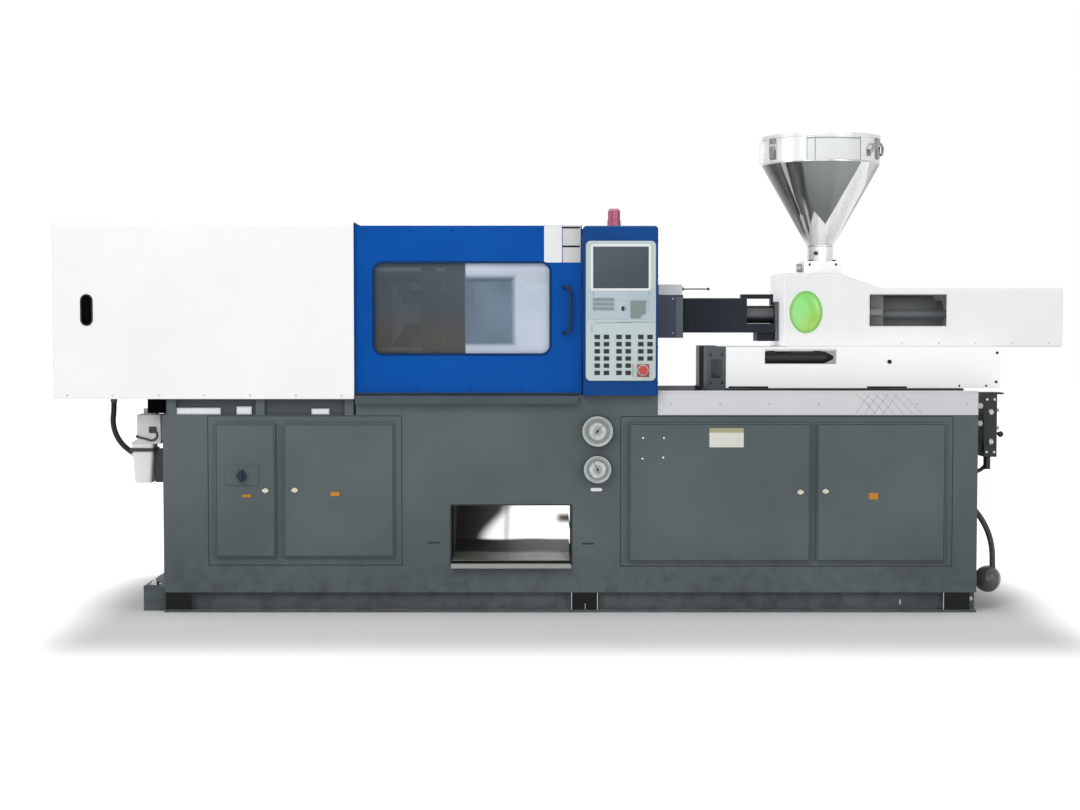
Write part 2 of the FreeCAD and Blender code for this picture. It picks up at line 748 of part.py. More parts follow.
# Clamp: fixed platen and tail platen on four tie bars, the moving platen driven by a double toggle.
tie_sizes = {
    "radius": 32.5, "reach": 185, "left": -1304, "right": 376, "nut": 52, "nut_long": 44,
}
tie = cells("tie", tie_sizes)
platen_sizes = {
    "fixed_left": 150, "fixed_right": 330, "half": 280, "locating": 62, "tail_left": -1260,
    "tail_right": -1130, "move_left": -667, "move_right": -467, "move_front": 90, "move_rear": 60,
    "rod_bore": 28, "web": 40, "web_rise": 110, "rib_inner": 60, "rib_outer": 110, "rib_drop": 60,
}
platen = cells("platen", platen_sizes)
platen.low = axis.height - platen.half
platen.high = axis.height + platen.half
mould_sizes = {
    "fixed": 150, "right": -241.7, "half": 150, "rise": 160, "clamp_plate": 30, "lip": 12,
    "pin": 12, "pin_long": 47, "pin_y": 110, "pin_top": 140, "pin_low": -111, "cavity_rim": 4,
    "sprue": 6,
}
mould = cells("mould", mould_sizes)
mould.left = platen.move_right
ejector_sizes = {
    "thick": 16, "half": 110, "pin": 8, "pin_y": 60, "pin_z": 80, "stroke": 30, "rise": 105,
}
ejector = cells("ejector", ejector_sizes)
cylinder_sizes = {
    "radius": 70, "left": -1700, "bore": 60, "rod": 25, "rod_end": -1640, "cap": 30, "flange": 88,
    "flange_thick": 26,
}
cylinder = cells("cylinder", cylinder_sizes)
corner_signs = ((-1, -1), (-1, 1), (1, -1), (1, 1))


# Where the linkage stands with the mould open, worked out from the link lengths.
pivot_x = platen.move_left - toggle.reach
tail_x = pivot_x - toggle.link * 2 * turned("cos", toggle.open_angle)
knee_x = tail_x + toggle.link * turned("cos", toggle.open_angle)
lug_x = (tail_x + toggle.lug_along * turned("cos", toggle.open_angle)
         + toggle.lug_off * turned("sin", toggle.open_angle))
lug_rise = (toggle.pivot + toggle.lug_along * turned("sin", toggle.open_angle)
            - toggle.lug_off * turned("cos", toggle.open_angle))
arm_rise = lug_rise - toggle.arm_pin_z
arm_x = lug_x + root(toggle.arm * toggle.arm - arm_rise * arm_rise)
arm_angle = 180 - arcsine(arm_rise / toggle.arm)


def tie_holes(left, right, radius):
    return [rod("X", (left - 1, right + 1), (side * tie.reach, axis.height + up * tie.reach), radius)
            for side, up in corner_signs]


def plate(left, right, radius):
    body = pad("YZ", box_corners(both(platen.half), (platen.low, platen.high)), right - left, x=left)
    soften(body, 24, lambda middle, along: abs(along.x) > 0.9)
    return cut(body, *tie_holes(left, right, radius))


def feet(left, right, bottom):
    pieces = []
    for side in (-1, 1):
        pieces.append(block((left, right), lane(side, way.inner + 5, way.outer),
                            (bottom, platen.low + 30)))
    return pieces


def fixed_platen():
    body = plate(platen.fixed_left, platen.fixed_right, tie.radius)
    bore = rod("X", (platen.fixed_left - 1, platen.fixed_right + 1), (0, axis.height), platen.locating)
    return node("fixed_platen", join(cut(body, bore),
                                     *feet(platen.fixed_left, platen.fixed_right, apron.top)))


def tie_bars():
    bars = []
    for side, up in corner_signs:
        centre = (side * tie.reach, axis.height + up * tie.reach)
        bars.append(join(rod("X", (tie.left, tie.right), centre, tie.radius),
                         rod("X", (platen.tail_left - tie.nut_long, platen.tail_left), centre, tie.nut),
                         rod("X", (platen.fixed_right, platen.fixed_right + tie.nut_long), centre,
                             tie.nut)))
    return node("tie_bars", together(*bars))


def lugs(x, base, lanes, radius):
    pieces = []
    for up in (-1, 1):
        for reach in lanes:
            z = axis.height + up * toggle.pivot
            pieces.append(rod("Y", reach, (x, z), radius))
            pieces.append(block(sorted((x, base), key=value), reach, (z - radius, z + radius)))
    return pieces


def tail_platen():
    body = cut(plate(platen.tail_left, platen.tail_right, tie.radius),
               rod("X", (platen.tail_left - 1, platen.tail_right + 1), (0, axis.height),
                   platen.rod_bore))
    pieces = lugs(tail_x, platen.tail_right, [both(toggle.inner)], toggle.half_width + toggle.eye)
    pieces += [rod("Y", both(toggle.middle), (tail_x, axis.height + up * toggle.pivot), toggle.pin)
               for up in (-1, 1)]
    return node("tail_platen", join(body, *pieces,
                                    *feet(platen.tail_left, platen.tail_right, apron.top)))


def clamp_cylinder():
    centre = (0, axis.height)
    outer = join(rod("X", (cylinder.left, platen.tail_left), centre, cylinder.radius),
                 rod("X", (platen.tail_left - cylinder.flange_thick, platen.tail_left), centre,
                     cylinder.flange),
                 rod("X", (cylinder.left, cylinder.left + cylinder.cap), centre, cylinder.radius + 10))
    bore = rod("X", (cylinder.left + cylinder.cap, platen.tail_left - 30), centre, cylinder.bore)
    neck = rod("X", (platen.tail_left - 40, platen.tail_left + 1), centre, cylinder.rod + gap.run)
    return node("clamp_cylinder", cut(outer, bore, neck))


def moving_platen():
    front = platen.move_right - platen.move_front
    rear = platen.move_left + platen.move_rear
    slide = tie.radius + gap.run
    pieces = [plate(front, platen.move_right, slide), plate(platen.move_left, rear, slide)]
    for side in (-1, 1):
        pieces.append(block((rear, front), lane(side, platen.half - platen.web, platen.half),
                            (axis.height - platen.web_rise, axis.height + platen.web_rise)))
        pieces.append(block((rear, front), lane(side, platen.rib_inner, platen.rib_outer),
                            (platen.high - platen.rib_drop, platen.high)))
    pieces += feet(platen.move_left, platen.move_right, apron.top + gap.run)
    pieces += lugs(pivot_x, platen.move_left, outer_lanes(), toggle.half_width + toggle.eye)
    pieces += [rod("Y", both(toggle.middle), (pivot_x, axis.height + up * toggle.pivot), toggle.pin)
               for up in (-1, 1)]
    pins = [rod("X", (front - 1, platen.move_right + 1), place, ejector.pin + gap.run)
            for place in ejector_places()]
    return node("moving_platen", cut(join(*pieces), *pins))


def ejector_places():
    return [(side * ejector.pin_y, axis.height + up * ejector.pin_z) for side, up in corner_signs]


def ejector_plate():
    left = platen.move_left + platen.move_rear + gap.run
    made = block((left, left + ejector.thick), both(ejector.half),
                 (axis.height - ejector.rise, axis.height + ejector.rise))
    pins = [rod("X", (left, mould.right - gap.run), place, ejector.pin) for place in ejector_places()]
    return node("ejector_plate", join(made, *pins))


def mould_moving_half():
    rise = (axis.height - mould.rise, axis.height + mould.rise)
    base = block((mould.left, mould.left + mould.clamp_plate), both(mould.half + mould.lip), rise)
    core = block((mould.left, mould.right), both(mould.half), rise)
    pins = [rod("X", (mould.right - 5, mould.right + mould.pin_long),
                (side * mould.pin_y, axis.height + up),
                mould.pin) for side in (-1, 1) for up in (mould.pin_top, mould.pin_low)]
    holes = [rod("X", (mould.left - 1, mould.right + 1), place, ejector.pin + gap.run)
             for place in ejector_places()]
    return node("mould_moving_half", cut(join(base, core, *pins), *holes))


# The cavity takes the ejector pins at full stroke, so an early stroke meets no steel.
def mould_fixed_half():
    rise = (axis.height - mould.rise, axis.height + mould.rise)
    core = block((platen.fixed_left - mould.fixed, platen.fixed_left), both(mould.half), rise)
    base = block((platen.fixed_left - mould.clamp_plate, platen.fixed_left),
                 both(mould.half + mould.lip), rise)
    face = platen.fixed_left - mould.fixed
    holes = [rod("X", (face - 1, face + mould.pin_long + 10), (side * mould.pin_y, axis.height + up),
                 mould.pin + gap.run + 0.5)
             for side in (-1, 1) for up in (mould.pin_top, mould.pin_low)]
    around = ejector.pin + mould.cavity_rim
    cavity_rise = ejector.pin_z + around
    holes.append(block((face - 1, face + ejector.stroke + mould.cavity_rim),
                       both(ejector.pin_y + around),
                       (axis.height - cavity_rise, axis.height + cavity_rise)))
    holes.append(rod("X", (face, platen.fixed_left + 1), (0, axis.height), mould.sprue))
    return node("mould_fixed_half", cut(join(core, base), *holes))


def outer_lanes(inner=toggle.inner + toggle.side_gap, outer=toggle.middle):
    return [(inner, outer), (0 - outer, 0 - inner)]


# A toggle link lies along its own X axis with its pivot at its origin. Each eye is its place along
# the link, its offset towards the outside, its outer radius and its hole, or no hole for a pin.
def link(name, lanes, length, eyes, pins, x, rise, angle, up, half_width=toggle.half_width):
    pieces = []
    holes = []
    for span in lanes:
        pieces.append(block((0, length), span, (0 - half_width, half_width)))
        for along, off, outer, hole in eyes:
            pieces.append(rod("Y", span, (along, off * up), outer))
            if hole is not None:
                holes.append(rod("Y", (span[0] - 1, span[1] + 1), (along, off * up), hole))
    pieces += [rod("Y", both(reach), (along, off * up), radius) for along, off, radius, reach in pins]
    made = cut(join(*pieces), *holes)
    made.Placement = FreeCAD.Placement(FreeCAD.Vector(),
                                       FreeCAD.Rotation(FreeCAD.Vector(0, -up, 0), 90))
    made.setExpression("Placement.Rotation.Angle", formula(angle))
    move(made, x, 0, axis.height + up * rise)
    return node(name, made)


def toggle_links():
    eye = toggle.half_width + toggle.eye
    open_hole = toggle.pin + toggle.slack
    centre_lane = [both(toggle.inner - gap.run)]
    arm_lanes = outer_lanes(toggle.middle + toggle.side_gap, toggle.outer)
    for word, up in (("upper", 1), ("lower", -1)):
        link("rear_link_" + word, outer_lanes(), toggle.link,
             [(0, 0, eye, toggle.pin + gap.run), (toggle.link, 0, eye, None)],
             [(toggle.link, 0, toggle.pin, toggle.middle),
              (toggle.lug_along, -toggle.lug_off, toggle.arm_pin, toggle.outer + 2)],
             tail_x, toggle.pivot, toggle.open_angle, up)
        link("front_link_" + word, centre_lane, toggle.link - open_hole,
             [(0, 0, eye, toggle.pin + gap.run), (toggle.link, 0, open_hole + 12, open_hole)], [],
             pivot_x, toggle.pivot, 180 - toggle.open_angle, up)
        arm_hole = toggle.arm_pin + toggle.arm_slack
        link("crosshead_link_" + word, arm_lanes, toggle.arm - arm_hole,
             [(0, 0, toggle.arm_pin + 9, toggle.arm_pin + gap.run),
              (toggle.arm, 0, arm_hole + 10, arm_hole)],
             [(toggle.arm / 2, 0, 9, toggle.middle + toggle.side_gap + 1)],
             arm_x, toggle.arm_pin_z, arm_angle, up, half_width=14)


def crosshead():
    half = both(toggle.middle - gap.run)
    body = block((arm_x - toggle.head, arm_x + toggle.head), half,
                 (axis.height - toggle.head_rise, axis.height + toggle.head_rise))
    bar_shape = rod("X", (cylinder.rod_end, arm_x), (0, axis.height), cylinder.rod)
    piston = rod("X", (cylinder.rod_end, cylinder.rod_end + toggle.piston), (0, axis.height),
                 cylinder.bore - gap.run)
    pins = [rod("Y", both(toggle.outer + 2), (arm_x, axis.height + up * toggle.arm_pin_z),
                toggle.arm_pin)
            for up in (-1, 1)]
    return node("crosshead", join(body, bar_shape, piston, *pins))


# Injection unit: a carriage on two rails with the barrel, its covers and the screw drive.
carriage_sizes = {
    "left": 738, "right": 2002, "half": 300, "low": 4, "high": -152, "wall": 16, "slot_left": 917,
    "slot_right": 1247, "slot_low": -230, "slot_high": -161, "pad": 100, "pad_first": 20,
    "pad_second": 760, "arm": 36, "housing_left": 1020, "housing_right": 1300, "housing_half": 90,
    "housing_top": 102, "throat_left": 1150, "throat_right": 1280, "throat_half": 62, "feed": 32,
    "post_left": 1960, "post_right": 1990, "post_half": 190, "post_top": 90, "rod": 20,
    "rod_y": 130, "foot_left": 652, "foot_right": 737, "foot_top": -150, "foot_half": 120,
}
carriage = cells("carriage", carriage_sizes)
stand_on(rail.top, carriage, "low")
stand_on(axis.height, carriage, "high", "slot_low", "slot_high", "foot_top", "housing_top", "post_top")
barrel_sizes = {
    "radius": 42, "tip": 150.5, "nozzle": 14, "cone": 205, "shoulder": 262, "bore": 19.3,
    "bore_start": 252, "flange_left": 990, "flange_right": 1008, "flange_low": -126,
    "flange_high": 60, "flange_half": 93,
}
barrel = cells("barrel", barrel_sizes)
stand_on(axis.height, barrel, "flange_low", "flange_high")
heat_sizes = {
    "left": 555, "trough": 857, "right": 990, "low": -86, "high": 77, "trough_high": -43,
    "taper": 8, "half": 100, "sheet": 3, "box_left": 908, "box_right": 986, "box_low": -126,
    "strap_low": 75, "strap_high": 96, "strap_half": 30, "strap_thick": 12, "strap_back": 19,
    "box_inset": 20,
}
heat = cells("heat", heat_sizes)
stand_on(axis.height, heat, "low", "high", "trough_high", "box_low", "strap_low", "strap_high")
screw_sizes = {
    "radius": 19, "tip": 262, "seat": 50,
}
screw = cells("screw", screw_sizes)
drive_sizes = {
    "left": 1424, "right": 1484, "half": 180, "low": -110, "high": 102, "motor": 88,
    "motor_long": 270, "tongue_left": 1408, "tongue_right": 1472, "tongue_low": -5,
    "tongue_high": 23, "cap": 40, "cap_step": 22, "tongue_reach": 55,
}
drive = cells("drive", drive_sizes)
stand_on(axis.height, drive, "low", "high", "tongue_low", "tongue_high")
hood_sizes = {
    "left": 1011, "right": 2302.5, "half": 250, "low": -147, "high": 122, "raised": 191,
    "slope_left": 1263, "slope_right": 1458, "sheet": 3, "corner": 14, "window_left": 1408,
    "window_right": 1764, "window_low": -55, "window_high": 91, "bore": 60, "flange": 17,
    "end_flange": 5, "turn": 6,
}
hood = cells("hood", hood_sizes)
stand_on(axis.height, hood, "low", "high", "raised", "window_low", "window_high")
hopper_sizes = {
    "x": 1215, "radius": 275, "rim": 830, "waist": 705, "neck": 60, "cone_low": 322,
    "neck_low": 251, "base": 90, "sheet": 3, "base_low": 191, "lid_rise": 30, "lid_lip": 8,
    "gate": 6, "gate_half": 44, "gate_knob": 20, "gate_reach": 50, "hinge_out": 22, "ear_inner": 14,
    "ear_outer": 24, "ear_drop": 20, "pin": 4, "eye": 9, "knuckle": 13, "bead": 5, "crown": 30,
    "clasp": 16, "clasp_reach": 14, "knob_long": 22,
}
hopper = cells("hopper", hopper_sizes)
stand_on(axis.height, hopper, "rim", "waist", "cone_low", "neck_low", "base_low")
shifter_sizes = {
    "radius": 28, "z": -200, "left": 925, "tip": 1240, "y": -250, "rod": 12, "rod_end": 1180,
    "taper": 40, "clamp": 30, "clamp_half": 18,
}
shifter = cells("shifter", shifter_sizes)
stand_on(axis.height, shifter, "z")


def carriage_base():
    shell = block((carriage.left, carriage.right), both(carriage.half), (carriage.low, carriage.high))
    inner = block((carriage.left + carriage.wall, carriage.right - carriage.wall),
                  both(carriage.half - carriage.wall),
                  (carriage.low - 1, carriage.high - carriage.wall))
    slot = block((carriage.slot_left, carriage.slot_right),
                 (-carriage.half - 1, 1 - carriage.half + carriage.wall),
                 (carriage.slot_low, carriage.slot_high))
    port = rod("X", (carriage.left - 1, carriage.left + carriage.wall + 1), (shifter.y, shifter.z),
               shifter.rod + gap.run)
    pieces = [cut(shell, inner, slot, port)]
    for side in (-1, 1):
        for start in (carriage.left + carriage.pad_first, carriage.left + carriage.pad_second):
            pieces.append(block((start, start + carriage.pad),
                                lane(side, rail.inner - 20, rail.outer - 8),
                                (rail.top + gap.run, carriage.high - carriage.wall)))
        pieces.append(block((carriage.housing_left, carriage.housing_right),
                            lane(side, carriage.housing_half, carriage.rod_y + carriage.arm),
                            (axis.height - carriage.arm, axis.height + carriage.arm)))
        pieces.append(rod("X", (carriage.housing_right, carriage.post_left),
                          (side * carriage.rod_y, axis.height),
                          carriage.rod))
    housing = [block((carriage.housing_left, carriage.housing_right), both(carriage.housing_half),
                     (carriage.high, carriage.housing_top)),
               block((carriage.throat_left, carriage.throat_right), both(carriage.throat_half),
                     (carriage.housing_top, hood.raised))]
    holes = [rod("X", (carriage.housing_left - 1, carriage.housing_right + 1), (0, axis.height),
                 barrel.radius),
             rod("Z", (axis.height, hood.raised + 1), (hopper.x, 0), carriage.feed)]
    pieces += [cut(part, *holes) for part in housing]
    pieces.append(block((carriage.post_left, carriage.post_right), both(carriage.post_half),
                        (carriage.high, carriage.post_top)))
    return node("carriage_base", together(*pieces))


# Two posts that hold the rod of the shift cylinder, notched over the rails.
def carriage_foot():
    notch = [block((carriage.foot_left - 1, carriage.foot_right + 1),
                   lane(side, rail.inner, rail.outer),
                   (bed.top - 1, rail.top)) for side in (-1, 1)]
    posts = [cut(block((carriage.foot_left, carriage.foot_right),
                       lane(side, carriage.foot_half, carriage.half),
                       (bed.top, carriage.foot_top)), tool) for side, tool in zip((-1, 1), notch)]
    return posts + [rod("X", (carriage.foot_right, shifter.rod_end), (shifter.y, shifter.z),
                        shifter.rod)]


def barrel_piece():
    corners = [(0, 0), (barrel.nozzle, 0), (barrel.nozzle, barrel.cone - barrel.tip),
               (barrel.radius, barrel.shoulder - barrel.tip),
               (barrel.radius, carriage.housing_right - barrel.tip),
               (0, carriage.housing_right - barrel.tip)]
    body = spin(corners)
    body.Placement = FreeCAD.Placement(FreeCAD.Vector(), turns["X"])
    move(body, barrel.tip, 0, axis.height)
    plate_shape = block((barrel.flange_left, barrel.flange_right), both(barrel.flange_half),
                        (barrel.flange_low, barrel.flange_high))
    holes = [rod("X", (barrel.bore_start, carriage.housing_right + 1), (0, axis.height), barrel.bore),
             rod("X", (barrel.tip - 1, barrel.bore_start + 1), (0, axis.height), 4),
             rod("Z", (axis.height, axis.height + barrel.radius + 1), (hopper.x, 0), 18)]
    return node("barrel", cut(join(body, plate_shape), *holes))


def barrel_cover():
    ridge = [(0, 0), (heat.trough - heat.left, 0), (heat.trough - heat.left, heat.high - heat.low),
             (heat.taper, heat.high - heat.low)]
    body = pad("XZ", ridge, heat.half * 2, x=heat.left, y=heat.half, z=heat.low)
    soften(body, 10, lambda middle, along: middle.z > 160 and abs(along.x) > 0.9)
    tools = [block((heat.left + heat.taper + heat.sheet, heat.trough - heat.sheet),
                   both(heat.half - heat.sheet),
                   (heat.low - 1, heat.high - heat.sheet)),
             rod("X", (heat.left - 1, heat.trough + 1), (0, axis.height), barrel.radius + 4),
             block((heat.left - 1, heat.trough + 1), both(barrel.radius + 4),
                   (heat.low - 1, axis.height))]
    shell = cut(body, *tools)
    tray = cut(block((heat.trough - heat.sheet, heat.right), both(heat.half),
                     (heat.low, heat.trough_high)),
               block((heat.trough - 1, heat.right + 1), both(heat.half - heat.sheet),
                     (heat.low + heat.sheet, heat.trough_high + 1)))
    wall = block((heat.trough - heat.sheet - 1, heat.trough + 1), both(barrel.radius + 4),
                 (heat.low - 1, axis.height))
    box_shape = block((heat.box_left, heat.box_right), both(heat.half - heat.box_inset),
                      (heat.box_low, heat.low))
    strap = [block((heat.trough - heat.strap_back, heat.right), both(heat.strap_half),
                   (heat.strap_low, heat.strap_high)),
             block((heat.trough - heat.strap_back, heat.trough - heat.strap_back + heat.strap_thick),
                   both(heat.strap_half), (heat.high - 10, heat.strap_low))]
    drop_leg = block((heat.right - heat.strap_thick, heat.right), both(heat.strap_half),
                     (axis.height + barrel.radius + heat.sheet, heat.strap_low))
    return node("barrel_cover", join(shell, cut(tray, wall), box_shape, *strap, drop_leg))


# The hood: a top sheet, two side sheets with the bends, two ends, and flanges turned in at the foot.
def injection_cover():
    flat = [(0, 0), (hood.right - hood.left, 0), (hood.right - hood.left, hood.high - hood.low),
            (hood.slope_right - hood.left, hood.high - hood.low),
            (hood.slope_left - hood.left, hood.raised - hood.low), (0, hood.raised - hood.low)]
    body = pad("XZ", flat, hood.half * 2, x=hood.left, y=hood.half, z=hood.low)
    soften(body, hood.corner,
           lambda middle, along: abs(along.y) < 0.1 and middle.z > 1 and abs(along.z) < 0.9)
    wide = hood.right - hood.left - hood.sheet
    rise = hood.high - hood.low - hood.sheet
    tall = hood.raised - hood.low - hood.sheet
    inside = pad("XZ", [(hood.sheet, -1), (wide, -1), (wide, rise),
                        (hood.slope_right - hood.left, rise),
                        (hood.slope_left - hood.left, tall), (hood.sheet, tall)],
                 hood.half * 2 - hood.sheet * 2, x=hood.left, y=hood.half - hood.sheet, z=hood.low)
    soften(inside, hood.corner - hood.sheet,
           lambda middle, along: abs(along.y) < 0.1 and middle.z > 1 and abs(along.z) < 0.9)
    holes = [inside,
             rod("X", (hood.left - 1, hood.left + hood.sheet + 1), (0, axis.height), hood.bore),
             block((carriage.throat_left, carriage.throat_right), both(carriage.throat_half),
                   (hood.raised - 9, hood.raised + 1)),
             block((hood.window_left, hood.window_right), (-hood.half - 1, 1 - hood.half + hood.sheet),
                   (hood.window_low, hood.window_high))]
    shell = cut(body, *holes)
    first, last = hood.left + hood.sheet, hood.right - hood.sheet
    bend, wall = hood.half - hood.corner, hood.half - hood.sheet
    tall = (hood.low - 1, hood.raised + 1)
    sheets = [within(shell, block((hood.left - 1, first), both(hood.half + 1), tall)),
              within(shell, block((last, hood.right + 1), both(hood.half + 1), tall)),
              within(shell, block((first, last), both(bend), tall))]
    level = (carriage.high, hood.low + hood.turn)
    for side in (-1, 1):
        sheets.append(within(shell, block((first, last), lane(side, bend, hood.half + 1), tall)))
        sheets.append(block((first, last), lane(side, wall - hood.flange, wall), level))
    inner = both(wall - hood.flange)
    sheets.append(block((first, first + hood.end_flange), inner, level))
    sheets.append(block((last - hood.end_flange, last), inner, level))
    return node("injection_cover", together(*sheets))


def injection_drive():
    plate_shape = block((drive.left, drive.right), both(drive.half), (drive.low, drive.high))
    motor = join(rod("X", (drive.right, drive.right + drive.motor_long), (0, axis.height), drive.motor),
                 rod("X", (drive.right + drive.motor_long, drive.right + drive.motor_long + drive.cap),
                     (0, axis.height), drive.motor - drive.cap_step))
    tongue = block((drive.tongue_left, drive.tongue_right),
                   (-drive.half - drive.tongue_reach, -drive.half + 2),
                   (drive.tongue_low, drive.tongue_high))
    holes = [rod("X", (drive.left - 1, drive.right + 1), (side * carriage.rod_y, axis.height),
                 carriage.rod + gap.run) for side in (-1, 1)]
    holes.append(rod("X", (drive.left - 1, drive.left + screw.seat), (0, axis.height),
                     screw.radius + gap.run))
    return node("injection_drive", cut(join(plate_shape, motor, tongue), *holes))


def screw_piece():
    length = drive.left + screw.seat - gap.run - screw.tip
    corners = [(0, 0), (screw.radius - 8, 22), (screw.radius - 8, 34), (screw.radius, 36),
               (screw.radius, length), (0, length)]
    body = spin(corners)
    body.Placement = FreeCAD.Placement(FreeCAD.Vector(), turns["X"])
    move(body, screw.tip, 0, axis.height)
    return node("screw", body)


def shift_cylinder():
    centre = (shifter.y, shifter.z)
    outer = [rod("X", (shifter.left, shifter.tip - shifter.taper), centre, shifter.radius),
             rod("X", (shifter.tip - shifter.taper, shifter.tip), centre, shifter.radius, 8)]
    for start in (shifter.left + 12, shifter.tip - 90):
        outer.append(block((start, start + shifter.clamp),
                           (shifter.y - shifter.clamp_half, shifter.y + shifter.clamp_half),
                           (shifter.z + 10, carriage.high - carriage.wall)))
    bore = rod("X", (shifter.left - 1, shifter.rod_end + 10), centre, shifter.rod + gap.run)
    return node("shift_cylinder", cut(join(*outer), bore))


hinge_z = hopper.rim + hopper.eye


def hopper_pieces():
    wall = hopper.sheet
    low = hopper.neck_low
    tube = spin([(hopper.neck - wall, 0), (hopper.neck, 0), (hopper.neck, hopper.cone_low - low),
                 (hopper.neck - wall, hopper.cone_low - low)], hopper.x, 0, low)
    cone = spin([(hopper.neck - wall, 0), (hopper.neck, 0),
                 (hopper.radius, hopper.waist - hopper.cone_low),
                 (hopper.radius - wall, hopper.waist - hopper.cone_low)], hopper.x, 0, hopper.cone_low)
    tall = hopper.rim - hopper.waist
    drum = spin([(hopper.radius - wall, 0), (hopper.radius, 0), (hopper.radius, tall - 8),
                 (hopper.radius + 5, tall - 8), (hopper.radius + 5, tall),
                 (hopper.radius - wall, tall)],
                hopper.x, 0, hopper.waist)
    foot = block((hopper.x - hopper.base, hopper.x + hopper.base), both(hopper.base),
                 (hopper.base_low, low))
    slide_z = (hopper.base_low + low) / 2
    slot = (slide_z - hopper.gate / 2 - gap.run, slide_z + hopper.gate / 2 + gap.run)
    tools = [rod("Z", (hopper.base_low - 1, low + 1), (hopper.x, 0), carriage.feed),
             block((hopper.x - hopper.base - 1, hopper.x + hopper.gate_reach + 1),
                   both(hopper.gate_half + gap.run), slot)]
    ears = []
    hinge_y = hopper.radius + hopper.hinge_out
    for side in (-1, 1):
        ear = [hopper.x + edge for edge in lane(side, hopper.ear_inner, hopper.ear_outer)]
        ears.append(block(ear, (hopper.radius - 2, hinge_y + 6),
                          (hopper.rim - hopper.ear_drop, hopper.rim - 2)))
        ears.append(block(ear, (hinge_y - 13, hinge_y + 6),
                          (hopper.rim - hopper.ear_drop, hinge_z + 6)))
    pin = rod("X", (hopper.x - hopper.ear_outer, hopper.x + hopper.ear_outer),
              (hinge_y, hinge_z), hopper.pin)
    clasp = block((hopper.x - hopper.radius - hopper.clasp_reach, hopper.x - hopper.radius + 6),
                  both(hopper.clasp),
                  (hopper.waist + 10, hopper.rim - 12))
    node("hopper_body", together(join(drum, *ears, pin, clasp), cone, tube, cut(foot, *tools)))
    rise, lip = hopper.lid_rise, hopper.lid_lip
    edge, inner = hopper.radius + hopper.bead, hopper.radius - hopper.crown
    crown = [(0, rise - wall), (inner, lip - wall), (inner, 0), (edge, 0), (edge, lip),
             (inner + 2, lip + 2), (0, rise)]
    lid = spin(crown, hopper.x, 0, hopper.rim + gap.run)
    knuckle = join(rod("X", (hopper.x - hopper.knuckle, hopper.x + hopper.knuckle),
                       (hinge_y, hinge_z), hopper.eye),
                   block((hopper.x - hopper.knuckle, hopper.x + hopper.knuckle),
                         (hopper.radius - 10, hinge_y),
                         (hopper.rim + gap.run, hopper.rim + gap.run + lip)))
    hole = rod("X", (hopper.x - hopper.ear_inner, hopper.x + hopper.ear_inner),
               (hinge_y, hinge_z), hopper.pin + gap.run)
    node("hopper_lid", cut(join(lid, knuckle), hole))
    gate = block((hopper.x - hopper.base, hopper.x + hopper.gate_reach), both(hopper.gate_half),
                 (slide_z - hopper.gate / 2, slide_z + hopper.gate / 2))
    knob = rod("X", (hopper.x - hopper.base - hopper.knob_long, hopper.x - hopper.base - 1),
               (0, slide_z),
               hopper.gate_knob)
    neck = rod("X", (hopper.x - hopper.base - 2, hopper.x - hopper.base + 1), (0, slide_z),
               hopper.gate / 2)
    node("hopper_gate", join(gate, knob, neck))


# Product chute: a curved stainless sheet from the drop opening to the front, over a drip tray.
chute_sizes = {
    "back": 200, "mouth": 506, "sheet": 3, "tray_low": 206, "tray_high": 216, "tray_reach": 38,
    "clear": 3,
}
chute = cells("chute", chute_sizes)


def discharge_chute():
    steps = 7
    front, low = 0 - chute.mouth, drop.low + 20
    depth, rise = chute.mouth + chute.back, bed.top - bed.sheet - low
    outer, inner = [], []
    for index in range(steps + 1):
        lean = math.radians(90 * index / steps)
        across, up = math.sin(lean), 1 - math.cos(lean)
        outer.append((front + depth * across, low + rise * up))
        inner.insert(0, (front + (depth + chute.sheet) * across,
                         low - chute.sheet + (rise + chute.sheet) * up))
    body = pad("YZ", outer + inner, drop.right - drop.left - chute.clear * 2, x=drop.left + chute.clear)
    cheeks = []
    for start in (drop.left + chute.clear, drop.right - chute.clear - chute.sheet):
        side = outer[1:] + [(outer[1][0], low + rise)]
        cheeks.append(pad("YZ", side, chute.sheet, x=start))
    tray = block((drop.left, drop.right), (front - chute.tray_reach, -bed.half),
                 (chute.tray_low, chute.tray_high))
    lip = block((drop.left, drop.right), (front - chute.tray_reach, 3 - chute.tray_reach + front),
                (chute.tray_high, chute.tray_high + 12))
    return node("discharge_chute", together(join(body, *cheeks), join(tray, lip)))


gauge_sizes = {
    "x": 139, "high_z": -72, "high_radius": 70, "low_z": -244, "low_radius": 63, "deep": 36,
    "ring": 7,
}
gauge = cells("gauge", gauge_sizes)
stand_on(bed.top, gauge, "high_z", "low_z")


def pressure_gauges():
    made = []
    for z, radius in ((gauge.high_z, gauge.high_radius), (gauge.low_z, gauge.low_radius)):
        case = rod("Y", (0 - bed.half - gauge.deep, -bed.half), (gauge.x, z), radius)
        dial = rod("Y", (0 - bed.half - gauge.deep - 1, 6 - bed.half - gauge.deep), (gauge.x, z),
                   radius - gauge.ring)
        made.append(cut(case, dial))
    return node("pressure_gauges", together(*made))


lube_sizes = {
    "y": -350, "half": 55, "pump_left": -1957, "pump_right": -1850, "pump_low": -160,
    "pump_high": -4, "tank_left": -1983, "tank_right": -1883, "tank_low": -315, "tank_high": -130,
    "tank_taper": 12, "head": 34, "head_high": 26, "bracket_half": 30,
}
lube = cells("lube", lube_sizes)
stand_on(bed.top, lube, "pump_low", "pump_high", "tank_low", "tank_high")


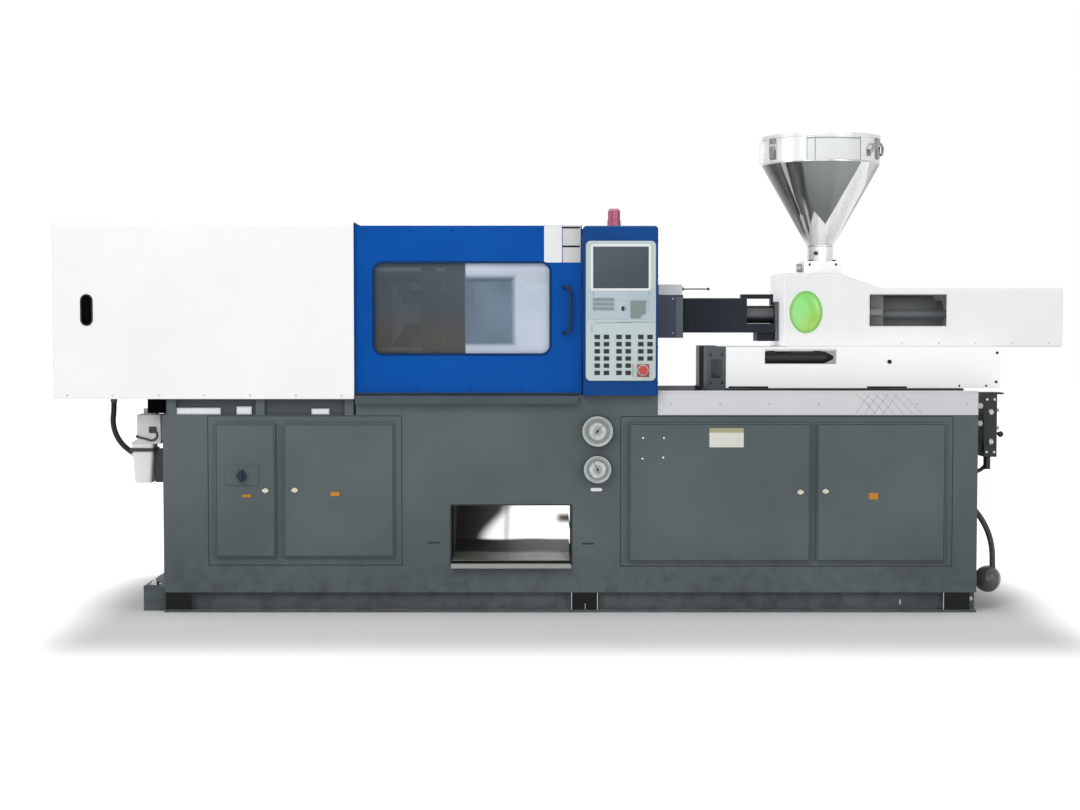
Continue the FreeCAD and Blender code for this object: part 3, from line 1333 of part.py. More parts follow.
def lubricator():
    width = (lube.y - lube.half, lube.y + lube.half)
    pump = block((lube.pump_left, lube.pump_right), width, (lube.tank_high, lube.pump_high))
    head = rod("Z", (lube.pump_high, lube.pump_high + lube.head_high),
               ((lube.pump_left + lube.pump_right) / 2, lube.y), lube.head)
    bracket = block((lube.pump_right, bed.left),
                    (lube.y - lube.bracket_half, lube.y + lube.bracket_half),
                    (lube.pump_low + 40, lube.pump_high - 10))
    plate_shape = block((lube.tank_left, lube.pump_right), width, (lube.tank_high - 6, lube.tank_high))
    node("lubricator_pump", join(pump, head, bracket, plate_shape))
    wide = lube.tank_right - lube.tank_left
    corners = [(lube.tank_taper, 0), (wide - lube.tank_taper, 0),
               (wide, lube.tank_high - 6 - lube.tank_low),
               (0, lube.tank_high - 6 - lube.tank_low)]
    tank = pad("XZ", corners, lube.half * 2 - 6, x=lube.tank_left, y=lube.y + lube.half - 3,
               z=lube.tank_low)
    soften(tank, 14, lambda middle, along: abs(along.z) > 0.9)
    spout = slanted(lube_route[-1], lube_turns[-1], hose.lube_radius + 4, 34)
    node("lubricator_reservoir", join(tank, spout))


# Hoses follow straight runs joined by tangent arcs. A turn is measured from straight down towards +X.
hose_sizes = {
    "lube_radius": 10, "filter_radius": 11,
}
hose = cells("hose", hose_sizes)
lube_start = (value(bar.gland_x), value(lube.y), value(apron.top - bar.thick) - 22)
lube_turns = (0, -8, 4, 17, 30, 43, 55)
lube_run = 38
filter_start = (1880.0, -300.0, 460.0)
filter_turns = (40, 32, 24, 15, 6, 0)
filter_run = 50


def route(start, angles, run):
    points = [FreeCAD.Vector(*start)]
    for angle in angles:
        lean = math.radians(angle)
        points.append(points[-1] + FreeCAD.Vector(math.sin(lean), 0, -math.cos(lean)) * run)
    return points


lube_route = route(lube_start, lube_turns, lube_run)
filter_route = route(filter_start, filter_turns, filter_run)


def slanted(point, angle, radius, long):
    lean = math.radians(angle)
    along = FreeCAD.Vector(math.sin(lean), 0, -math.cos(lean))
    made = doc.addObject("Part::Cylinder", "Spout")
    made.Placement = FreeCAD.Placement(point, FreeCAD.Rotation(FreeCAD.Vector(0, 0, 1), along))
    bind(made, Radius=radius, Height=long)
    return made


def tube(name, points, radius):
    edges = []
    last = points[0]
    for before, point, after in zip(points, points[1:], points[2:]):
        back, ahead = (before - point), (after - point)
        turn = math.pi - back.getAngle(ahead)
        bend = 0.45 * min(back.Length, ahead.Length) / math.tan(turn / 2)
        reach = bend * math.tan(turn / 2)
        start = point + back.normalize() * reach
        end = point + ahead.normalize() * reach
        inward = (back + ahead).normalize()
        middle = point + inward * (bend / math.cos(turn / 2) - bend)
        edges.append(Part.LineSegment(last, start).toShape())
        edges.append(Part.Arc(start, middle, end).toShape())
        print("%s bend radius %.0f" % (name, bend))
        last = end
    edges.append(Part.LineSegment(last, points[-1]).toShape())
    path = Part.Wire(edges)
    ring = Part.Wire(Part.makeCircle(value(radius), points[0], points[1] - points[0]))
    made = doc.addObject("Part::Feature", "Tube")
    made.Shape = path.makePipeShell([ring], True, False)
    whole = math.pi * value(radius) ** 2 * path.Length
    print("%s volume against section times length %.4f" % (name, made.Shape.Volume / whole))
    return node(name, made)


def hoses():
    tube("lubricator_hose", lube_route, hose.lube_radius)
    tube("filter_hose", filter_route, hose.filter_radius)


# Right end of the bed: oil manifold with its valve, and the strainer bowl.
oil_sizes = {
    "left": 1902, "right": 1960, "y": -360, "half": 60, "low": -195, "high": 90, "shelf": 8,
    "shelf_right": 1990, "stub": 16, "lever_z": -92, "lever_arm": 46, "knob": 13.5, "knob_x": 1980,
    "stem": 6, "lower_half": 30, "stub_long": 60, "socket": 26,
}
oil = cells("oil", oil_sizes)
stand_on(bed.top, oil, "low", "high", "lever_z")
bowl_sizes = {
    "x": 1956, "y": -300, "z": 125, "radius": 62, "flange": 58, "flange_thick": 12, "neck": 28,
}
bowl = cells("bowl", bowl_sizes)


def right_end():
    width = (oil.y - oil.half, oil.y + oil.half)
    body = block((oil.left, oil.right), width, (oil.low, oil.high))
    shelf = block((bed.right, oil.shelf_right), width, (oil.high, oil.high + oil.shelf))
    lower = block((bed.right, oil.left), (oil.y - oil.lower_half, oil.y + oil.lower_half),
                  (oil.low + 20, oil.low + 60))
    stub = rod("Z", (oil.low - oil.stub_long, oil.low), ((oil.left + oil.right) / 2, oil.y), oil.stub)
    bore = rod("X", (oil.right - oil.socket, oil.right + 1), (oil.y, oil.lever_z), oil.stem + gap.run)
    node("hydraulic_manifold", cut(join(body, shelf, lower, stub), bore))
    knob_y = oil.y - oil.lever_arm
    stem = rod("X", (oil.right - oil.socket + 1, oil.knob_x + oil.stem), (oil.y, oil.lever_z), oil.stem)
    arm = rod("Y", (knob_y, oil.y), (oil.knob_x, oil.lever_z), oil.stem - 1)
    node("valve_lever", join(stem, arm, ball(oil.knob_x, knob_y, oil.lever_z, oil.knob)))
    neck = rod("X", (bed.right, bowl.x - 20), (bowl.y, bowl.z), bowl.neck)
    flange = rod("X", (bed.right, bed.right + bowl.flange_thick), (bowl.y, bowl.z), bowl.flange)
    entry = filter_route[-1]
    nipple = slanted(entry, filter_turns[-1], hose.filter_radius + 4, 30)
    outlet = (filter_route[1] - filter_route[0]).normalize()
    elbow = slanted(filter_route[0] - outlet * 16, filter_turns[0], hose.filter_radius + 4, 16)
    collar = block((bed.right, filter_start[0] - 6), (bowl.y - 26, bowl.y + 26),
                   (filter_start[2] + 2, filter_start[2] + 60))
    node("filter_bowl", together(join(neck, flange, ball(bowl.x, bowl.y, bowl.z, bowl.radius), nipple),
                                 join(elbow, collar)))


# Pump and motor behind the service doors.
pump_sizes = {
    "left": 420, "right": 900, "y": 120, "z": 330, "radius": 130, "foot_half": 110,
    "block_left": 900, "block_right": 1040, "block_half": 75,
}
pump = cells("pump", pump_sizes)


def pump_motor():
    floor = bed.skid + bed.sheet
    motor = rod("X", (pump.left, pump.right), (pump.y, pump.z), pump.radius)
    foot = block((pump.left + 60, pump.right - 60), (pump.y - pump.foot_half, pump.y + pump.foot_half),
                 (floor, pump.z - 60))
    head = block((pump.block_left, pump.block_right),
                 (pump.y - pump.block_half, pump.y + pump.block_half),
                 (floor, pump.z + pump.block_half))
    return node("pump_motor", join(motor, foot, head))


bed_frame()
bed_side_panel()
bed_doors()
clamp_cover()
mould_doors()
door_rails()
control_column()
operating_panel()
beacon()
purge_guard()
fixed_platen()
tie_bars()
tail_platen()
clamp_cylinder()
moving_platen()
ejector_plate()
mould_moving_half()
mould_fixed_half()
toggle_links()
crosshead()
carriage_base()
barrel_piece()
barrel_cover()
injection_cover()
injection_drive()
screw_piece()
shift_cylinder()
hopper_pieces()
discharge_chute()
pressure_gauges()
lubricator()
hoses()
right_end()
pump_motor()

doc.recompute()
for item in doc.Objects:
    if any(word in item.State for word in ("Invalid", "Error")):
        raise RuntimeError("%s (%s) failed: %s" % (item.Label, item.Name, item.State))
for name, thing in nodes.items():
    if thing.Shape.isNull() or not thing.Shape.isValid():
        raise RuntimeError("%s has no valid shape" % name)
for name, thing in nodes.items():
    thing.Shape.exportStep("parts/%s.step" % name)
    print(name, thing.Shape.BoundBox, len(thing.Shape.Solids), round(thing.Shape.Volume / 1e6, 3))
print(len(nodes), "sub-parts written")
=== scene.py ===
import json
import math

import bmesh
import bpy
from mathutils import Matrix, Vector


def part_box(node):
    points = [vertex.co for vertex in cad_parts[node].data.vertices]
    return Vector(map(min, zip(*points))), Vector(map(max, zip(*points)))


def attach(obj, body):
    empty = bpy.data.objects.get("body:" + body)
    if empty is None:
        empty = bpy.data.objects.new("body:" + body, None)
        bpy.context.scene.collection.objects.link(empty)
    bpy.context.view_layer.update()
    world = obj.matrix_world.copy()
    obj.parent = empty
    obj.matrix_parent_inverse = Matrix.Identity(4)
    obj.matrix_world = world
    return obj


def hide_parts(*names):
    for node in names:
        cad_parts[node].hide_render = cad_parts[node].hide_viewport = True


# An injection moulding machine: finishes, hoses and small fittings around the fixed frame.
# Metres, +Z up, the operator stands at -Y.
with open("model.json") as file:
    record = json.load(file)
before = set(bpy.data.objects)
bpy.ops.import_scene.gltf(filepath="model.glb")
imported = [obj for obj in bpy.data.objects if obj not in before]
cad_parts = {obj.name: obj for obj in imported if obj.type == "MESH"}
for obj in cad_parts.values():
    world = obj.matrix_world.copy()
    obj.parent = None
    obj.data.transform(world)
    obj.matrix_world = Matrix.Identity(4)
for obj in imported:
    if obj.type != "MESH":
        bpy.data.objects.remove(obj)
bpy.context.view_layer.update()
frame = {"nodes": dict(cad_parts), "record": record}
nodes = frame["nodes"]
world = bpy.context.scene.world or bpy.data.worlds.new("hall")
scene = bpy.context.scene
scene.world = world


def linear(code):
    channels = [int(code[start:start + 2], 16) / 255 for start in (1, 3, 5)]
    bent = [share / 12.92 if share <= 0.04045 else ((share + 0.055) / 1.055) ** 2.4 for share in channels]
    return (*bent, 1.0)


# A value in a shader tree. Plain arithmetic on it adds math nodes, and numbers mix in freely.
class Value:
    def __init__(self, graph, socket):
        self.graph = graph
        self.socket = socket

    def __add__(self, other):
        return self.graph.sum("ADD", self, other)

    def __sub__(self, other):
        return self.graph.sum("SUBTRACT", self, other)

    def __rsub__(self, other):
        return self.graph.sum("SUBTRACT", other, self)

    def __mul__(self, other):
        return self.graph.sum("MULTIPLY", self, other)

    def __truediv__(self, other):
        return self.graph.sum("DIVIDE", self, other)

    def __abs__(self):
        return self.graph.sum("ABSOLUTE", self)


# A shader tree with short ways to add nodes. A colour may be a code such as #d3d4d6.
class Graph:
    def __init__(self, tree):
        self.tree = tree

    def fill(self, node, amounts):
        for key, amount in dict(amounts).items():
            if isinstance(amount, Value):
                self.tree.links.new(amount.socket, node.inputs[key])
            else:
                node.inputs[key].default_value = linear(amount) if isinstance(amount, str) else amount

    def add(self, kind, inputs=(), **settings):
        made = self.tree.nodes.new("ShaderNode" + kind)
        for name, setting in settings.items():
            setattr(made, name, setting)
        self.fill(made, inputs)
        return made

    def get(self, kind, output, inputs=(), **settings):
        return Value(self, self.add(kind, inputs, **settings).outputs[output])

    def group(self, name, **amounts):
        made = self.add("Group", amounts, node_tree=bpy.data.node_groups[name])
        return {socket.name: Value(self, socket) for socket in made.outputs}

    def shade(self, amounts):
        self.fill(self.tree.nodes["Principled BSDF"], amounts)

    def sum(self, operation, *amounts, clamp=False):
        return self.get("Math", 0, enumerate(amounts), operation=operation, use_clamp=clamp)

    def vector(self, operation, *amounts):
        output = "Value" if operation == "DOT_PRODUCT" else "Vector"
        return self.get("VectorMath", output, enumerate(amounts), operation=operation)

    def span(self, amount, low, high, start=0.0, end=1.0):
        inputs = {"Value": amount, "From Min": low, "From Max": high, "To Min": start, "To Max": end}
        return self.get("MapRange", 0, inputs, interpolation_type="SMOOTHSTEP")

    # From 0 to 1 as the amount rises through nought.
    def step(self, amount, soft):
        return self.span(amount, -soft, soft)

    def reach(self, across, up):
        return self.sum("SQRT", across * across + up * up)

    def blend(self, factor, first, second):
        return self.get("Mix", 2, {0: factor, 6: first, 7: second}, data_type="RGBA")

    def noise(self, place, scale, detail=2.0, rough=0.5):
        inputs = {"Vector": place, "Scale": scale, "Detail": detail, "Roughness": rough}
        return self.get("TexNoise", "Fac", inputs)

    def parts(self, place):
        outputs = self.add("SeparateXYZ", {0: place}).outputs
        return [Value(self, outputs[axis]) for axis in range(3)]

    def place(self, x, y, z):
        return self.get("CombineXYZ", 0, {0: x, 1: y, 2: z})

    def where(self):
        return self.get("TexCoord", "Object")

    def seen(self):
        path = self.add("LightPath").outputs
        camera, glossy, through = (Value(self, path[word]) for word in (
            "Is Camera Ray", "Is Glossy Ray", "Is Transmission Ray"))
        return self.sum("ADD", camera + glossy, through, clamp=True)


# Starts a group with its inputs, and gives its graph and the values that they carry.
def startGroup(name, **inputs):
    tree = bpy.data.node_groups.new(name, "ShaderNodeTree")
    for label, start in inputs.items():
        kind = "NodeSocketVector" if isinstance(start, tuple) else "NodeSocketFloat"
        tree.interface.new_socket(label, in_out="INPUT", socket_type=kind).default_value = start
    graph = Graph(tree)
    given = tree.nodes.new("NodeGroupInput").outputs
    return graph, {label: Value(graph, given[label]) for label in inputs}


# Ends a group with its outputs: a normal is a vector and all else is a plain number.
def endGroup(graph, **outputs):
    for label in outputs:
        kind = "NodeSocketVector" if label == "Normal" else "NodeSocketFloat"
        graph.tree.interface.new_socket(label, in_out="OUTPUT", socket_type=kind)
    graph.fill(graph.tree.nodes.new("NodeGroupOutput"), outputs)


# Effects that many finishes share. Each gives masks, values or a normal only.
def edgeGroup():
    graph, given = startGroup("softEdges", Radius=0.002)
    rounded = graph.get("Bevel", 0, {"Radius": given["Radius"]}, samples=6)
    bent = 1.0 - graph.vector("DOT_PRODUCT", rounded, graph.get("NewGeometry", "Normal"))
    spot = graph.noise(graph.where(), 60.0, 3.0, 0.7)
    endGroup(graph, Rub=graph.span(bent, 0.02, 0.16) * graph.span(spot, 0.42, 0.66), Normal=rounded)


def skinGroup():
    graph, given = startGroup("paintSkin", Seed=0.0, Peel=0.2, Base=(0, 0, 1))
    where = graph.vector("ADD", graph.where(), graph.place(given["Seed"], given["Seed"] * 1.7, 0.0))
    height = graph.noise(where, 420.0, 1.0) * 0.05 + graph.noise(where, 5.5, 1.0)
    bump = graph.get("Bump", 0, {"Height": height, "Strength": given["Peel"], "Distance": 0.004,
                                 "Normal": given["Base"]})
    endGroup(graph, Cloud=graph.span(graph.noise(where, 1.7, 4.0, 0.55), 0.3, 0.7),
             Speck=graph.span(graph.noise(where, 170.0, 2.0, 0.6), 0.60, 0.78), Normal=bump)


def soilGroup():
    graph, given = startGroup("shopSoil", Floor=0.3, Seed=0.0)
    where = graph.vector("ADD", graph.where(), graph.place(given["Seed"], 0.0, given["Seed"]))
    up = graph.parts(graph.get("NewGeometry", "Normal"))[2]
    height = graph.parts(graph.where())[2]
    settled = graph.span(graph.noise(where, 9.0, 5.0, 0.6), 0.35, 0.7)
    splash = graph.span(graph.noise(where, 14.0, 5.0, 0.65), 0.38, 0.72)
    narrow = graph.vector("MULTIPLY", where, (34.0, 34.0, 0.9))
    endGroup(graph, Dust=graph.span(up, 0.6, 1.0) * settled,
             Grime=graph.span(height, given["Floor"], 0.0) * splash,
             Runs=graph.span(graph.noise(narrow, 1.0, 3.0, 0.6), 0.58, 0.8) * settled)


def brushGroup():
    graph, given = startGroup("brushedGrain", Stretch=(1, 1, 60), Depth=0.15, Base=(0, 0, 1))
    fine = graph.noise(graph.vector("MULTIPLY", graph.where(), given["Stretch"]), 7.0, 4.0, 0.7)
    bump = graph.get("Bump", 0, {"Height": fine, "Strength": given["Depth"], "Distance": 0.001,
                                 "Normal": given["Base"]})
    smear = graph.span(graph.noise(graph.where(), 6.0, 4.0, 0.6), 0.35, 0.7)
    endGroup(graph, Streak=fine, Smear=smear, Normal=bump)


# Painted reflection: bands of light and dark around an upright axis, as rolled sheet reflects the hall
# around it.
def hallGroup():
    graph, given = startGroup("hallReflection", Centre=(0, 0, 0), Turn=0.0)
    x, y, z = graph.parts(graph.vector("SUBTRACT", graph.where(), given["Centre"]))
    angle = graph.sum("ARCTAN2", y, x) + given["Turn"]
    around = graph.place(graph.sum("COSINE", angle), graph.sum("SINE", angle), z * 0.35)
    seam = graph.span(abs(graph.sum("SINE", angle * 0.5)), 0.012, 0.0)
    endGroup(graph, Band=graph.noise(around, 2.6, 1.0, 0.4), Seam=seam)


for makeGroup in (edgeGroup, skinGroup, soilGroup, brushGroup, hallGroup):
    makeGroup()
print("shared effects made")


def startMaterial(name):
    material = bpy.data.materials.new(name)
    material.use_nodes = True
    return material, Graph(material.node_tree)


# Sprayed and moulded finishes: base and second colour, wear on edges, dust, grime and runs by share.
def coated(name, base, second, rough=0.5, peel=0.12, rub=0.3, rubColour="#8d9194", dust=0.2, grime=0.0,
           runs=0.1, speck=0.1, radius=0.0025, seed=1.0, coat=0.0, floor=0.3, shine=0.3):
    material, graph = startMaterial(name)
    edges = graph.group("softEdges", Radius=radius)
    skin = graph.group("paintSkin", Seed=seed, Peel=peel, Base=edges["Normal"])
    soil = graph.group("shopSoil", Seed=seed, Floor=floor)
    colour = graph.blend(skin["Cloud"], base, second)
    for mask, share, tone in ((skin["Speck"], speck, "#3c3a36"), (soil["Runs"], runs, "#57534b"),
                              (soil["Grime"], grime, "#2f2c28"), (soil["Dust"], dust, "#a7a49c"),
                              (edges["Rub"], rub, rubColour)):
        colour = graph.blend(mask * share, colour, tone)
    wear = soil["Dust"] * 0.25 + skin["Cloud"] * 0.08
    graph.shade({"Base Color": colour, "Roughness": graph.sum("ADD", wear, rough, clamp=True),
                 "Normal": skin["Normal"], "Specular IOR Level": shine, "Coat Weight": coat,
                 "Coat Roughness": 0.15})
    return material


# Bare metals: grain direction as a stretch of the noise, smears change the roughness.
def machined(name, base, second, rough=0.3, stretch=(60.0, 1.0, 1.0), depth=0.15, rub=0.35, oil=0.2,
             radius=0.0015):
    material, graph = startMaterial(name)
    edges = graph.group("softEdges", Radius=radius)
    grain = graph.group("brushedGrain", Stretch=stretch, Depth=depth, Base=edges["Normal"])
    soil = graph.group("shopSoil", Seed=4.0, Floor=0.2)
    colour = graph.blend(grain["Streak"], base, second)
    for mask, share, tone in ((grain["Smear"], oil, "#3a3429"), (edges["Rub"], rub, "#d9dadb"),
                              (soil["Dust"], 0.2, "#8c8a84")):
        colour = graph.blend(mask * share, colour, tone)
    graph.shade({"Base Color": colour, "Normal": grain["Normal"], "Metallic": 1.0,
                 "Roughness": graph.sum("ADD", grain["Smear"] * 0.16, rough, clamp=True)})
    return material


# The hopper's axis and radii, its cone's slope and levels, and the painted reflections and highlights of
# the hall on it. A line is its offset and its lean, and four numbers are the levels and the amounts that a
# mark spans.
bands = {
    "x": 1.215, "neck": 0.060, "drum": 0.275, "slope": 0.5614, "low": 1.672, "waist": 2.055,
    "cone": (1.660, 1.674), "fork": 1.833, "tip": 1.7795,
    "left": (-0.051, 0.334), "foot": (-0.001, 0.95), "right": (0.008, 0.53), "wedgeLevels": (1.80, 2.06),
    "fold": (-0.34, 3.1), "foldLevels": (1.685, 1.745), "stripe": -0.745,
    "stripeWide": (1.84, 2.05, 0.008, 0.034), "stripeFoot": (1.825, 1.810, 0.0, 0.045),
    "streak": -0.56, "highlightStreakWide": 0.07, "highlightStreakLevels": (1.91, 1.83, 0.0, 0.9),
    "flank": 0.89, "flankTop": (1.93, 2.055, 0.0, 0.16), "flankLevels": (1.70, 1.80)}


# Polished hopper sheet with the hall painted on it as reflection: a dull grey wedge on the cone, dark
# bands at its left with painted highlights in them, painted shade on its right flank, pale drum and neck.
def mirrorSteel(name, centre):
    material, graph = startMaterial(name)
    edges = graph.group("softEdges", Radius=0.0015)
    grain = graph.group("brushedGrain", Stretch=(2.0, 2.0, 70.0), Depth=0.03, Base=edges["Normal"])
    hall = graph.group("hallReflection", Centre=centre, Turn=0.4)
    where = graph.where()
    x, y, z = graph.parts(where)
    radius = graph.sum("MAXIMUM", (z - bands["low"]) * bands["slope"], 0.0) + bands["neck"]
    offset = x - bands["x"] + (graph.noise(where, 5.0, 1.0) - 0.5) * 0.008
    share = offset / graph.sum("MINIMUM", radius, bands["drum"])
    rise = z - bands["fork"]
    above = z - bands["tip"]
    left = graph.sum("MAXIMUM", bands["left"][0] - rise * bands["left"][1],
                     bands["foot"][0] - above * bands["foot"][1])
    right = above * bands["right"][1] + bands["right"][0]
    # wedge: a dull grey painted reflection of the hall on the cone.
    wedge = graph.step(offset - left, 0.001) * graph.step(right - offset, 0.001)
    # Dark bands of painted reflection at the left, with a stripe and a streak of painted highlight in them.
    limit = graph.sum("MINIMUM", rise, 0.0) * bands["fold"][1] + bands["fold"][0]
    darkReflections = graph.span(limit - share, -0.03, 0.02) * graph.span(z, *bands["foldLevels"])
    width = graph.span(z, *bands["stripeWide"]) + graph.span(z, *bands["stripeFoot"])
    stripe = graph.step(width - abs(share - bands["stripe"]), 0.006)
    streak = graph.span(abs(share - bands["streak"]), bands["highlightStreakWide"], 0.0)
    streak = streak * graph.span(z, *bands["highlightStreakLevels"])
    # flank: painted shade, darker towards the right edge of the cone.
    edge = bands["flank"] - graph.span(z, *bands["flankTop"])
    flank = graph.step(share - edge, 0.01) * graph.span(z, *bands["flankLevels"])
    depth = graph.span(graph.noise(graph.place(share * 3.0, 0.0, z), 3.0, 2.0), 0.35, 0.65)
    # Bands of painted reflection round the axis.
    colour = graph.blend(graph.span(hall["Band"], 0.47, 0.53), "#e3e5e4", "#f8f8f8")
    colour = graph.blend(flank, colour, graph.blend(graph.span(share, 0.82, 0.98), "#c9cbcb", "#636665"))
    darkReflectionTone = graph.blend(depth, "#484a48", "#868782")
    colour = graph.blend(darkReflections, colour, graph.blend(graph.sum("MAXIMUM", stripe, streak), darkReflectionTone,
                                                    "#eceeed"))
    wedgeTone = graph.blend(graph.span(z, *bands["wedgeLevels"]), "#6f7473", "#858b8a")
    colour = graph.blend(wedge, colour, wedgeTone)
    onCone = graph.span(z, *bands["cone"]) * graph.span(z, bands["waist"] + 0.002, bands["waist"] - 0.001)
    colour = graph.blend(onCone, graph.blend(grain["Smear"] * 0.25, "#f1f2f2", "#d6d9d8"), colour)
    colour = graph.blend(grain["Smear"] * 0.1, colour, "#8b8f8e")
    graph.shade({"Base Color": graph.blend(hall["Seam"], colour, "#7d8182"), "Normal": grain["Normal"],
                 "Roughness": grain["Smear"] * 0.1 + 0.22, "Metallic": 0.35})
    return material


# Display face: dark glass over faint rows of light with a painted sheen, no signs.
def displayGlass(name):
    material, graph = startMaterial(name)
    where = graph.where()
    x, y, z = graph.parts(where)
    # Painted sheen: lighter towards the upper left.
    colour = graph.blend(graph.span(z - x * 0.5, 1.36, 1.54), "#39444e", "#46525c")
    rows = graph.span(graph.sum("SINE", z * 2100.0), 0.2, 1.0, 0.0, 0.06)
    smear = graph.span(graph.noise(where, 22.0, 4.0, 0.6), 0.45, 0.75)
    graph.shade({"Base Color": graph.blend(rows, colour, "#56616a"), "Roughness": smear * 0.15 + 0.14,
                 "Specular IOR Level": 0.2})
    return material


# Rating plate: brushed metal with an olive band along its top, left blank.
def dataSheet(name, band=(0.812, 0.820)):
    material, graph = startMaterial(name)
    edges = graph.group("softEdges", Radius=0.001)
    grain = graph.group("brushedGrain", Stretch=(40.0, 1.0, 1.0), Depth=0.05, Base=edges["Normal"])
    soil = graph.group("shopSoil", Seed=5.0, Floor=0.2)
    colour = graph.blend(graph.span(graph.parts(graph.where())[2], *band), "#c9c9c1", "#94926a")
    colour = graph.blend(grain["Streak"] * 0.25, colour, "#8f8f86")
    graph.shade({"Base Color": graph.blend(soil["Runs"] * 0.4, colour, "#6f6d62"),
                 "Roughness": grain["Smear"] * 0.15 + 0.34, "Normal": grain["Normal"], "Metallic": 0.3})
    return material


dial = {"x": 0.139, "z": 0.823, "apart": 0.172, "between": 0.74, "inner": (0.016, 0.026),
        "outer": (0.035, 0.040)}


# Gauge face: grey-green card with darker rings of shade round the hub, for both gauges.
def gaugeSheet(name):
    material, graph = startMaterial(name)
    where = graph.where()
    x, y, z = graph.parts(where)
    rise = z + graph.sum("LESS_THAN", z, dial["between"]) * dial["apart"]
    radius = graph.reach(x - dial["x"], rise - dial["z"])
    spots = graph.span(graph.noise(where, 60.0, 4.0, 0.6), 0.35, 0.7)
    colour = graph.blend(graph.span(radius, *dial["inner"]), "#8a9490", "#bcc4c0")
    colour = graph.blend(graph.span(radius, *dial["outer"]), colour, "#6d7673")
    graph.shade({"Base Color": graph.blend(spots * 0.4, colour, "#5b6461"),
                 "Roughness": spots * 0.2 + 0.3, "Coat Weight": 0.6})
    return material


# Green moulded oval: a deeper rim, a yellower face, fine swirls in the plastic.
def badgeGloss(name, middle=(1.113, 1.360), half=(0.0755, 0.0975)):
    material, graph = startMaterial(name)
    where = graph.where()
    x, y, z = graph.parts(where)
    across = (x - middle[0]) / half[0]
    up = (z - middle[1]) / half[1]
    swirl = graph.span(graph.noise(where, 24.0, 3.0, 0.6), 0.3, 0.7)
    colour = graph.blend(graph.span(across - up, -0.7, 1.5), "#7fdf68", "#a5cf3a")
    colour = graph.blend(swirl * 0.25, colour, "#98e287")
    colour = graph.blend(graph.span(graph.reach(across, up), 0.80, 0.93), colour, "#6fbf3c")
    graph.shade({"Base Color": colour, "Roughness": swirl * 0.1 + 0.16, "Coat Weight": 0.6})
    return material


# openFilm and openShare: the pale, thicker film round the mould, painted light for the bright space beyond
# it.
pane = {"joint": -0.455, "left": "#a2adb6", "right": "#d3deea", "leftFilm": ("#656d73", "#6a6761"),
        "filmLevels": (1.42, 1.22), "rightFilm": "#a9bccf", "leftShare": 0.52, "rightShare": 0.16,
        "seamShare": 0.35, "mouldEnd": (-0.255, -0.220), "mouldTop": (1.500, 1.535),
        "mouldFoot": (1.225, 1.200), "openFilm": "#dfe6f0", "openShare": 0.36}


# Door window: smoky to the left of a joint in the pane and paler to its right, with a wiped film that
# is thicker and paler round the mould, painted light for the bright space seen beyond the open mould.
def doorPane(name):
    material, graph = startMaterial(name)
    where = graph.where()
    x, y, z = graph.parts(where)
    right = graph.step(x - pane["joint"], 0.004)
    tint = graph.blend(right, pane["left"], pane["right"])
    clouds = graph.noise(graph.vector("MULTIPLY", where, (2.0, 2.0, 3.0)), 1.6, 1.0, 0.4)
    wipe = graph.span(clouds, 0.3, 0.75)
    graph.shade({"Base Color": tint, "IOR": 1.12, "Transmission Weight": 1.0,
                 "Roughness": wipe * 0.02 + 0.01})
    # bare marks the space round the mould, where the film is thicker and paler: painted light for the
    # bright space beyond.
    bare = graph.sum("MAXIMUM", graph.span(x, *pane["mouldEnd"]), graph.span(z, *pane["mouldTop"]))
    bare = graph.sum("MAXIMUM", bare, graph.span(z, *pane["mouldFoot"])) * right
    share = graph.span(right, 0.0, 1.0, pane["leftShare"], pane["rightShare"]) + bare * pane["openShare"]
    film = graph.blend(right, graph.blend(graph.span(z, *pane["filmLevels"]), *pane["leftFilm"]),
                       graph.blend(bare, pane["rightFilm"], pane["openFilm"]))
    seam = graph.span(abs(x - pane["joint"]), 0.004, 0.002, 0.0, pane["seamShare"])
    share = graph.sum("MAXIMUM", share * (wipe * 0.3 + 0.85), seam)
    glass = Value(graph, material.node_tree.nodes["Principled BSDF"].outputs[0])
    veiled = graph.get("MixShader", 0, {0: share, 1: glass, 2: graph.get("BsdfDiffuse", 0, {0: film})})
    path = graph.add("LightPath").outputs
    shadow, diffuse = (Value(graph, path[word]) for word in ("Is Shadow Ray", "Is Diffuse Ray"))
    passing = graph.sum("MAXIMUM", shadow, diffuse)
    clear = graph.get("BsdfTransparent", 0, {0: tint})
    graph.fill(material.node_tree.nodes["Material Output"],
               {"Surface": graph.get("MixShader", 0, {0: passing, 1: veiled, 2: clear})})
    return material


# Where the chute's upper sheet, its bend in painted shade and its tray lie, where the painted highlight of
# the light above falls on it, a dim spot in that highlight, and the painted shade beyond the tray's corner.
chute = {"light": (0.30, 0.45, -0.405, -0.29), "stain": (-0.06, -0.015), "stainLevel": 0.383,
         "fold": -0.277, "bend": (0.293, 0.303), "shade": (-0.50, -0.30), "tray": (0.262, 0.255),
         "trayEdge": (0.232, 0.222), "corner": 0.022, "cornerShadeLevels": (0.215, 0.262, 0.0, 0.05)}
